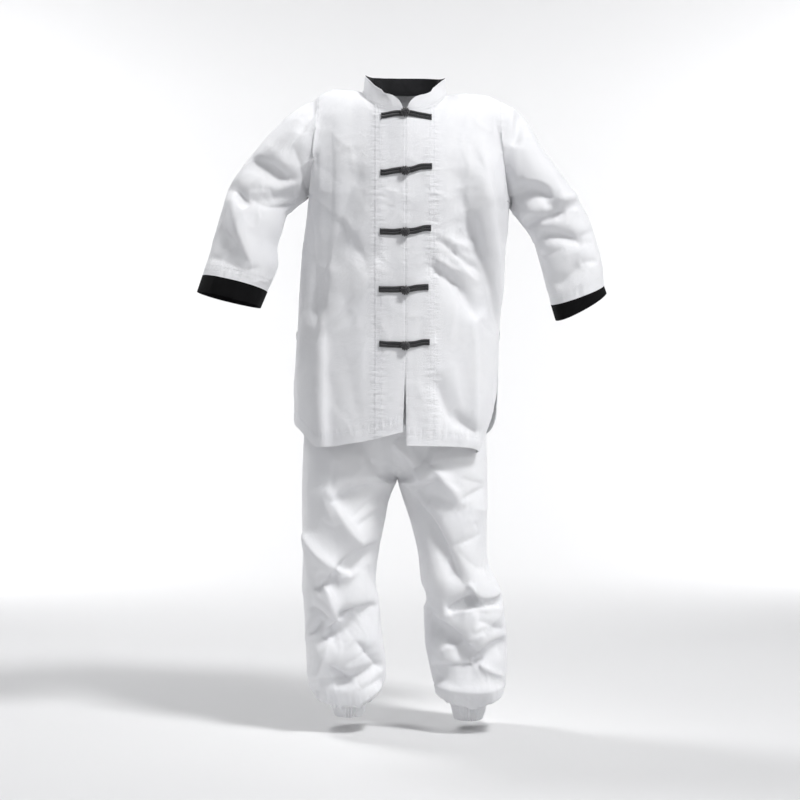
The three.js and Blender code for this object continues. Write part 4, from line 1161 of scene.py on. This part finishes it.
def weave_material(name, colour, shade, rough, sheen, ribs, bump):
    """Twill drill: fine diagonal ribs, slightly uneven colour, puckers and soft crumples."""
    m, add = new_material(name)
    place = add("TexCoord").outputs["Object"]

    def lumps(scale, detail, vector=place, **more):
        inputs = {"Scale": scale, "Detail": detail, "Vector": vector, **more}
        return add("TexNoise", inputs).outputs["Fac"]

    def maths(operation, *values):
        return add("Math", dict(enumerate(values)), operation=operation).outputs["Value"]

    wave = {"Scale": ribs, "Distortion": 0.6, "Detail": 2.0, "Vector": place}
    wave = add("TexWave", wave, wave_type="BANDS", bands_direction="DIAGONAL").outputs["Fac"]
    cloud = {"Value": lumps(9, 4), "From Min": 0.3, "From Max": 0.6}
    cloud = add("MapRange", cloud).outputs["Result"]
    tone = {"A": (*shade, 1), "B": (*colour, 1), "Factor": cloud}
    # short puckers across every sewn line, where the mesh keeps how near an upright (X) or a level
    # (Y) seam is, and small crumples where it keeps how crumpled the cloth is (Z)
    seam = add("Attribute", attribute_name="seam").outputs["Vector"]
    near = add("SeparateXYZ", {"Vector": seam}).outputs
    puckers = []
    for axis, stretch in (("X", (45, 45, 185)), ("Y", (165, 165, 45))):
        ticks = add("VectorMath", {0: place, 1: stretch}, operation="MULTIPLY").outputs["Vector"]
        puckers.append(maths("MULTIPLY", lumps(1.0, 1.0, ticks), near[axis]))
    ridge = lumps(24, 1.5, Distortion=0.3)
    for operation, number in RIDGES:
        ridge = maths(operation, ridge, number)
    sewn = maths("MULTIPLY_ADD", ridge, near["Z"], maths("ADD", *puckers))
    bumps = [
        (lumps(38, 5, Roughness=0.55), *CRUMPLE_BUMP),
        (sewn, *SEAM_BUMP),
        (lumps(900, 3), bump, THREAD_BUMP),
        (wave, bump, RIB_BUMP),
    ]
    below = {}
    for height, strength, distance in bumps:
        inputs = {"Height": height, "Strength": strength, "Distance": distance, **below}
        below = {"Normal": add("Bump", inputs).outputs["Normal"]}
    surface(add, {
        "Base Color": add("Mix", tone, data_type="RGBA").outputs["Result"],
        "Roughness": rough,
        "Sheen Weight": sheen,
        "Sheen Roughness": 0.5,
        "Sheen Tint": (1, 1, 1, 1),
        "Specular IOR Level": 0.35 if colour[0] > 0.1 else 0.12,
        **below,
    })
    return m


def cord_material(name):
    m, add = new_material(name)
    place = add("TexCoord").outputs["Object"]
    wave = add("TexWave", {"Scale": 420, "Distortion": 1.2, "Vector": place}).outputs["Fac"]
    tone = {"A": (0.006, 0.006, 0.007, 1), "B": (0.026, 0.026, 0.03, 1), "Factor": wave}
    bump = {"Strength": 0.6, "Distance": 0.0006, "Height": wave}
    surface(add, {
        "Base Color": add("Mix", tone, data_type="RGBA").outputs["Result"],
        "Normal": add("Bump", bump).outputs["Normal"],
        "Roughness": 0.42,
        "Sheen Weight": 0.3,
    })
    return m


WEAVES = [
    ("white_drill", (0.82, 0.822, 0.838), (0.77, 0.773, 0.795), 0.62, 0.2, 620, 0.35),
    ("black_drill", (0.004, 0.004, 0.0045), (0.002, 0.002, 0.0025), 0.85, 0.0, 620, 0.4),
    ("charcoal_lining", (0.024, 0.024, 0.027), (0.015, 0.015, 0.017), 0.7, 0.15, 620, 0.4),
    ("white_thread", (0.84, 0.845, 0.87), (0.72, 0.73, 0.77), 0.55, 0.1, 900, 0.3),
]
WHITE, BLACK, LINING, THREAD = [weave_material(*weave) for weave in WEAVES]
CORD = cord_material("black_cord")


# ---- meshes ----
def new_object(name, verts, faces, material):
    mesh = bpy.data.meshes.new(name)
    verts = [tuple(v) for v in np.asarray(verts, float) * MM]
    mesh.from_pydata(verts, [], [tuple(int(i) for i in f) for f in faces])
    mesh.validate()
    mesh.materials.append(material)
    mesh.polygons.foreach_set("use_smooth", [True] * len(mesh.polygons))
    obj = bpy.data.objects.new(name, mesh)
    bpy.context.scene.collection.objects.link(obj)
    return obj


def shell(cloth, material, lift=0.0):
    outer = cloth.rows + cloth.normals * lift
    inner = outer - cloth.normals * cloth.thickness[..., None]
    h, w = outer.shape[:2]
    index = np.arange(h * w).reshape(h, w)
    if cloth.closed:
        index = np.concatenate([index, index[:, :1]], 1)
    a, b, c, d = index[:-1, :-1], index[1:, :-1], index[1:, 1:], index[:-1, 1:]
    top = np.stack([a, b, c, d], -1).reshape(-1, 4)
    n = h * w
    rims = [index[0][::-1], index[-1]] + ([] if cloth.closed else [index[:, 0], index[::-1, -1]])
    faces = [top, top[:, ::-1] + n]
    faces += [np.stack([rim[1:], rim[:-1], rim[:-1] + n, rim[1:] + n], -1) for rim in rims]
    faces = np.concatenate(faces)
    if cloth.flipped:
        faces = faces[:, ::-1]
    verts = np.concatenate([outer.reshape(-1, 3), inner.reshape(-1, 3)])
    obj = new_object(cloth.name + "_cloth", verts, faces, material)
    # a cut edge is crisp: its rim doesn't round off the shading of the cloth beside it
    border = np.zeros((h, w), bool)
    border[[0, -1]] = True
    if not cloth.closed:
        border[:, [0, -1]] = True
    layer = np.concatenate([np.where(border, 1, 0).ravel(), np.where(border, 2, 0).ravel()])
    ends = np.empty(len(obj.data.edges) * 2, int)
    obj.data.edges.foreach_get("vertices", ends)
    ends = layer[ends].reshape(-1, 2)
    crisp = obj.data.attributes.new("sharp_edge", "BOOLEAN", "EDGE")
    crisp.data.foreach_set("value", (ends[:, 0] > 0) & (ends[:, 0] == ends[:, 1]))
    seam = obj.data.attributes.new("seam", "FLOAT_VECTOR", "POINT")
    seam.data.foreach_set("vector", np.concatenate([cloth.seam.reshape(-1, 3)] * 2).ravel())
    return obj


made = {}
for group in (jacket, trousers):
    for name, cloth in group.items():
        made[name] = shell(cloth, BLACK if name.startswith("cuff") else WHITE)

BAND_LIFT = 0.85
LINING_LIFT = -CLOTH - 0.15
APPLIED = 0.8  # thickness of a piece that lies on another


def applied(name, cloth, columns, material, lift):
    """A piece that lies on columns of another cloth, or inside it."""
    part = Cloth(name, cloth.rows[:, columns])
    part.normals, part.seam = cloth.normals[:, columns], cloth.seam[:, columns]
    part.flipped = cloth.flipped
    part.thickness = np.full(part.rows.shape[:2], APPLIED)
    made[name] = shell(part, material, lift)


for side in SIDES:
    applied("band_" + side, jacket["front_" + side], slice(0, BAND_EDGE + 1), WHITE, BAND_LIFT)
applied("collar_lining", collar, slice(None), LINING, LINING_LIFT)


def gathered_band(name, rows):
    band = Cloth(name, rows, True)
    band.find_normals()
    made[name] = shell(band, WHITE)


WAIST_Z = LEG_HEIGHTS[0]
WAIST_ROWS, WAIST_GATHER = 6, 1.3
ANKLE_ROWS, ANKLE_POINTS, ANKLE_GATHERS = 12, 320, 34
columns = np.arange(LEG_ACROSS * LEG_COLUMNS) / LEG_ACROSS
ring = np.array(
    [trouser_point("left", column, WAIST_Z) for column in columns]
    + [trouser_point("right", LEG_COLUMNS - column, WAIST_Z) for column in columns]
)
gather = np.cos(np.arange(len(ring)) * 2 * np.pi / LEG_ACROSS) * WAIST_GATHER
gather = unit(ring - ring.mean(0)) * gather[:, None]
rises = [WAISTBAND_HEIGHT * (1 - k / WAIST_ROWS) for k in range(WAIST_ROWS + 1)]
gathered_band("waistband", [ring + [0, 0, rise] + gather for rise in rises])
for side in SIDES:
    a = ANKLES[side]
    rows = []
    for k in range(ANKLE_ROWS + 1):
        down = k / ANKLE_ROWS
        across, deep, gather = ankle_section(side, down)
        angle = np.linspace(0, 2 * np.pi, ANKLE_POINTS, endpoint=False)
        jitter = 0.25 * np.sin(3 * angle + down * 2) + 0.2 * np.sin(7 * angle - down * 3)
        wave = gather * np.sin(angle * ANKLE_GATHERS + jitter * 4)
        wave *= 0.65 + 0.35 * np.sin(5 * angle + 1)
        level = np.full(ANKLE_POINTS, mix(a["top"], a["bottom"], down))
        place = np.stack([across * np.sin(angle), deep * np.cos(angle), level], 1)
        wave += 1.3 * noise(place, (9, 9, 11), 8) + 0.7 * noise(place, (5, 5, 6), 9)
        rows.append(np.stack([
            a["x"] + (across + wave) * np.sin(angle),
            a["y"] - (deep + wave) * np.cos(angle),
            level,
        ], 1))
    gathered_band("ankle_band_" + side, rows)


# ---- frog fastenings ----
def surface_tree(names):
    verts, faces, at = [], [], 0
    for name in names:
        mesh = made[name].data
        co = np.empty(len(mesh.vertices) * 3)
        mesh.vertices.foreach_get("co", co)
        verts += [Vector(v) for v in co.reshape(-1, 3)]
        faces += [[i + at for i in p.vertices] for p in mesh.polygons]
        at = len(verts)
    return BVHTree.FromPolygons(verts, faces)


bands_tree = surface_tree(["band_right", "band_left", "front_right", "front_left"])


AHEAD, NOWHERE_Y = 0.4, -100  # metres and millimetres


def surface_y(x, z):
    """Where the fronts and their bands lie, looked for from ahead of them."""
    hit = bands_tree.ray_cast(Vector((x * MM, -AHEAD, z * MM)), Vector((0, 1, 0)), 1.5 * AHEAD)[0]
    return NOWHERE_Y if hit is None else hit.y / MM


def tube(points, radius, sides=10, squash=1.0):
    """A round tube along points, as verts and faces."""
    points = np.asarray(points, float)
    tangent = unit(np.gradient(points, axis=0))
    side = unit(np.cross(tangent, np.array([0, -1.0, 0])))
    up = np.cross(side, tangent)
    radius = np.broadcast_to(radius, (len(points),))
    verts = []
    for k in range(sides):
        angle = 2 * np.pi * k / sides
        spoke = side * math.cos(angle) + up * math.sin(angle) * squash
        verts.append(points + spoke * radius[:, None])
    verts = np.stack(verts, 1).reshape(-1, 3)
    faces = []
    for i in range(len(points) - 1):
        for k in range(sides):
            a, b = i * sides + k, i * sides + (k + 1) % sides
            faces.append([a, b, b + sides, a + sides])
    faces.append(list(range(sides))[::-1])
    faces.append([len(points) * sides - sides + k for k in range(sides)])
    return verts, faces


def join(parts):
    verts, faces, at = [], [], 0
    for v, f in parts:
        verts.append(v)
        faces += [[i + at for i in face] for face in f]
        at += len(v)
    return np.concatenate(verts), faces


CORD_RADIUS = 3.05
CORD_SUNK = CORD_RADIUS * 0.6
STRAP_STEPS = 44


def strap(name, end_x, end_z, knot_z, rise):
    """Two flat cords side by side, folded under and sewn down at the outer end."""
    inner_x = math.copysign(4.5, end_x)
    end_x -= math.copysign(1.5, end_x)
    parts = []
    for row, offset in enumerate((CORD_RADIUS, -CORD_RADIUS)):
        line = []
        for i in range(STRAP_STEPS + 1):
            t = i / STRAP_STEPS
            x = mix(end_x, inner_x, t)
            bow = rise * math.sin(math.pi * min(1, t * 1.15)) ** 2
            z = mix(end_z, knot_z, smooth(t)) + offset + bow
            z += 0.35 * math.sin(t * 9 + end_z)
            line.append([x, surface_y(x, z) - CORD_SUNK - 1.6 * t**3, z])
        line = np.array(line)
        line[:, 1] = np.convolve(np.pad(line[:, 1], 2, mode="edge"), np.ones(5) / 5, "valid")
        twist = 1 + 0.06 * np.sin(np.arange(STRAP_STEPS + 1) * 1.9 + row)
        parts.append(tube(line, CORD_RADIUS * 1.04 * twist, 12, 0.62))
    # the turned end, with a seam of thread over it
    turn_x = end_x + math.copysign(0.4, end_x)
    heights = [end_z + z for z in np.linspace(-6, 6, 7)]
    edge = [[turn_x, surface_y(turn_x, z) - CORD_SUNK, z] for z in heights]
    parts.append(tube(np.array(edge), 1.5, 8, 1.0))
    return new_object(name, *join(parts), CORD)


KNOT = 8.1
KNOT_FLATNESS = 0.75
KNOT_STEPS = 40


def knot(name, z0):
    """A ball button: cords wound over a core in three crossing turns."""
    y0 = surface_y(1.0, z0) - 5.2
    parts = []
    core = bmesh.new()
    bmesh.ops.create_icosphere(core, subdivisions=3, radius=KNOT)
    v = np.array([p.co for p in core.verts])
    v[:, 1] *= KNOT_FLATNESS
    f = [[q.index for q in face.verts] for face in core.faces]
    core.free()
    parts.append((v + [0, y0, z0], f))
    for tilt in (-0.9, 0.15, 1.15):
        for shift in (-1.95, 1.95):
            line = []
            for i in range(KNOT_STEPS + 1):
                angle = 2 * math.pi * i / KNOT_STEPS
                reach = math.sqrt(max(0.1, KNOT**2 - shift**2))
                u, w = reach * math.cos(angle), reach * math.sin(angle)
                x = u * math.cos(tilt) - shift * math.sin(tilt)
                z = u * math.sin(tilt) + shift * math.cos(tilt)
                line.append([x, y0 - w * KNOT_FLATNESS, z0 + z])
            parts.append(tube(np.array(line), 1.75, 8))
    return new_object(name, *join(parts), CORD)


# how much each strap bows upwards, how far the pair is lifted and how far its knot slips
HANGING = [
    ((1.5, 0.0), 3, 2),
    ((-0.6, 1.5), 0, -2),
    ((-1.0, 0.4), 0, -1),
    ((-1.0, 1.0), 0, -2.5),
    ((-0.8, 0.6), 0, -2),
]
for i, (frog, (rises, lift, slip)) in enumerate(zip(FROGS, HANGING), 1):
    knot_z = frog["knotZ"] + lift
    for side, rise in zip(SIDES, rises):
        name = f"frog_{side}_{i}"
        made[name] = strap(name + "_cord", frog[side + "X"], frog[side + "Z"] + lift, knot_z, rise)
    made[f"frog_knot_{i}"] = knot(f"frog_knot_{i}_cord", knot_z + slip)


# ---- stitches ----
def line_at(cloth, axis, index, offset, lift=0.0, ends=(0, None)):
    """Points and normals on the line that runs offset from a grid line of the cloth."""
    d, p, n = spread_from(cloth.rows, axis, index), cloth.rows, cloth.normals
    if axis == 0:
        d, p, n = d.T, p.transpose(1, 0, 2), n.transpose(1, 0, 2)
        if cloth.closed:
            d, p, n = (np.concatenate([v, v[:1]]) for v in (d, p, n))
    d, p, n = (v[slice(*ends)] for v in (d, p, n))

    def read(v):
        return np.array([[np.interp(offset, at, c) for c in line.T] for at, line in zip(d, v)])

    facing = read(n)
    return read(p) + facing * lift, facing


THREAD_RADIUS = 0.36


def stitches(name, lines, pitch=3.7, length=2.8):
    """A row of separate stitches on each line: thread that dips into the cloth at both ends."""
    verts = []
    for place, facing in lines:
        along = lengths_along(place)
        middle = (np.arange(int(along[-1] / pitch)) + 0.5) * pitch
        middle = middle + rng.uniform(-0.25, 0.25, len(middle))

        def at(values, where):
            return np.stack([np.interp(where, along, values[:, k]) for k in range(3)], 1)

        start, stop = at(place, middle - length / 2), at(place, middle + length / 2)
        n, run = unit(at(facing, middle)), stop - start
        aside = np.cross(run, n)
        aside *= THREAD_RADIUS / np.maximum(np.linalg.norm(aside, axis=1, keepdims=True), 1e-9)
        up = n * THREAD_RADIUS
        rings = [start - 0.3 * up, stop - 0.3 * up]
        for t in (0.2, 0.8):
            rings += [start + run * t + v for v in (aside, 1.7 * up, -aside, -0.4 * up)]
        verts.append(np.stack(rings, 1).reshape(-1, 3))
    verts = np.concatenate(verts)
    quads = [[2 + k, 2 + (k + 1) % 4, 6 + (k + 1) % 4, 6 + k] for k in range(4)]
    ends = [[0, 2 + (k + 1) % 4, 2 + k] for k in range(4)]
    ends += [[1, 6 + k, 6 + (k + 1) % 4] for k in range(4)]
    faces = [[i + at for i in face] for at in range(0, len(verts), 10) for face in quads + ends]
    return new_object(name, verts, faces, THREAD)


TACK_TURNS, TACK_WIDTH, TACK_HEIGHT = 24, 12, 7


def bar_tack(at, across, facing):
    """Close zigzag stitches over the top of a slit, as one line."""
    across = unit(across)
    down = np.cross(across, facing)
    points = []
    for k in range(TACK_TURNS + 1):
        run, side = k / TACK_TURNS - 0.5, 0.5 if k % 2 else -0.5
        swell = 1.1 * math.sqrt(max(0, 1 - (2 * run) ** 2))
        place = at + across * TACK_WIDTH * run + down * TACK_HEIGHT * side
        points.append(place + facing * (0.3 + swell))
    return tube(np.array(points), 0.62, 6)


ON_CLOTH, ON_BAND = 0.1, BAND_LIFT + 0.1
sewn = []
for side in SIDES:
    front = jacket["front_" + side]
    last_row, last_column = front.rows.shape[0] - 1, front.rows.shape[1] - 1
    sewn.append(stitches("stitching_front_" + side, [
        line_at(front, 1, BAND_EDGE, -2.2, ON_BAND),
        line_at(front, 1, BAND_EDGE, -BAND_STITCH, ON_BAND),
        line_at(front, 1, 0, 3.0, ON_BAND),
        line_at(front, 0, last_row, -HEM_STITCH, ON_CLOTH, (BAND_EDGE, None)),
        line_at(front, 0, last_row, -HEM_STITCH, ON_BAND, (0, BAND_EDGE)),
        line_at(front, 1, last_column, -SLIT_STITCH, ON_CLOTH, (SEAM_END, None)),
        line_at(front, 0, 0, 3.0, ON_CLOTH, (NECK_END, None)),
    ]))
    sleeve = jacket["sleeve_" + side]
    lines = [line_at(sleeve, 0, len(sleeve.rows) - 1, -line, ON_CLOTH) for line in SLEEVE_HEM]
    sewn.append(stitches("stitching_sleeve_" + side, lines))
back = jacket["back"]
last_row, last_column = back.rows.shape[0] - 1, back.rows.shape[1] - 1
sewn.append(stitches("stitching_back", [
    line_at(back, 0, last_row, -HEM_STITCH, ON_CLOTH),
    line_at(back, 1, 0, SLIT_STITCH, ON_CLOTH, (SEAM_END, None)),
    line_at(back, 1, last_column, -SLIT_STITCH, ON_CLOTH, (SEAM_END, None)),
]))
sewn.append(stitches("stitching_collar", [
    line_at(collar, 0, len(collar.rows) - 1, -4.5, ON_CLOTH),
    line_at(collar, 0, 0, 3.0, ON_CLOTH, (8, -8)),
], 3.2, 2.4))
tacks = []
for side in SIDES:
    front = jacket["front_" + side]
    for row in (SEAM_END - 1, SEAM_END + 1):
        at, n = front.rows[row, -1], front.normals[row, -1]
        tacks.append(bar_tack(at, front.rows[row, -2] - at, n))
sewn.append(new_object("bar_tacks", *join(tacks), THREAD))
for obj in sewn:
    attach(obj, "root")

for node, obj in made.items():
    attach(obj, "root")
    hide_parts(node)


# ---- studio ----
WORLD_LIGHT = 0.21
# name, place, target, size, power, then colour and spread in degrees where they aren't the usual
LIGHTS = [
    ("key", (1.6, -1.6, 2.6), (0, 0, -0.6), 0.7, 122),
    ("low", (1.5, -1.2, 0.3), (0, 0, -1.15), 0.4, 0.4, (1, 1, 1), 34),
    ("side", (-2.8, -1.6, 0.6), (0, 0, -0.6), 1.0, 5, (0.95, 0.97, 1.0)),
    ("back", (-1.9, 1.3, 2.6), (0, 1.0, -1.2), 1.0, 75),
    ("wall_right", (2.6, 3.0, 0.4), (1.2, 5.4, -0.5), 1.6, 55),
    ("wall_left", (-2.6, 3.0, 0.4), (-1.2, 5.4, -0.5), 1.6, 55),
]
FLOOR_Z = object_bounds()[0][2] - 0.02
FLOOR_RADIUS, BOWL, METRE, TURNS = 3.2, 2.2, 1000, 72
# radius and height of the paper's rings, in metres: a floor that curves up into a wall
profile = [(1.2, 0.0), (2.4, 0.0), (FLOOR_RADIUS, 0.0)]
for a in np.linspace(0.12, math.pi / 2, 14):
    profile.append((FLOOR_RADIUS + BOWL * math.sin(a), BOWL - BOWL * math.cos(a)))
profile += [(5.4, 3.2), (5.4, 4.4)]
ring_points = [
    (r * math.cos(a) * METRE, r * math.sin(a) * METRE, (FLOOR_Z + h) * METRE)
    for r, h in profile
    for a in np.arange(TURNS) * 2 * np.pi / TURNS
]
bowl_faces = [[0, 1 + k, 1 + (k + 1) % TURNS] for k in range(TURNS)]
for i in range(len(profile) - 1):
    for k in range(TURNS):
        a, b = 1 + i * TURNS + k, 1 + i * TURNS + (k + 1) % TURNS
        bowl_faces.append([a, a + TURNS, b + TURNS, b])
paper, add_paper = new_material("paper")
surface(add_paper, {"Base Color": (0.7, 0.7, 0.705, 1), "Roughness": 0.95})
floor = new_object("studio", [(0, 0, FLOOR_Z * METRE), *ring_points], bowl_faces, paper)

scene = bpy.context.scene
scene.view_settings.view_transform = "Standard"
world = bpy.data.worlds.new("studio")
scene.world = world
world.use_nodes = True
sky = world.node_tree.nodes["Background"]
sky.inputs[0].default_value = (0.95, 0.97, 1.0, 1)
sky.inputs[1].default_value = WORLD_LIGHT


def area_light(name, place, target, size, power, colour=(1, 1, 1), spread=180):
    data = bpy.data.lights.new(name, "AREA")
    data.shape, data.size, data.energy, data.color = "DISK", size, power, colour
    data.spread = math.radians(spread)
    obj = bpy.data.objects.new(name, data)
    obj.location = place
    obj.rotation_euler = (Vector(target) - Vector(place)).to_track_quat("-Z", "Y").to_euler()
    scene.collection.objects.link(obj)


for light in LIGHTS:
    area_light(*light)

# the photograph's camera, as matched to the outline
SENSOR, FOCAL_PIXELS, PHOTO_PIXELS, CAMERA_PLACE = 36, 1756, 800, (-0.01025, -3.6, -0.617)
camera_data = bpy.data.cameras.new("camera")
camera_data.sensor_width = SENSOR
camera_data.lens = FOCAL_PIXELS / PHOTO_PIXELS * SENSOR
camera = bpy.data.objects.new("camera", camera_data)
camera.location = CAMERA_PLACE
camera.rotation_euler = (math.pi / 2, 0, 0)
scene.collection.objects.link(camera)
scene.camera = camera
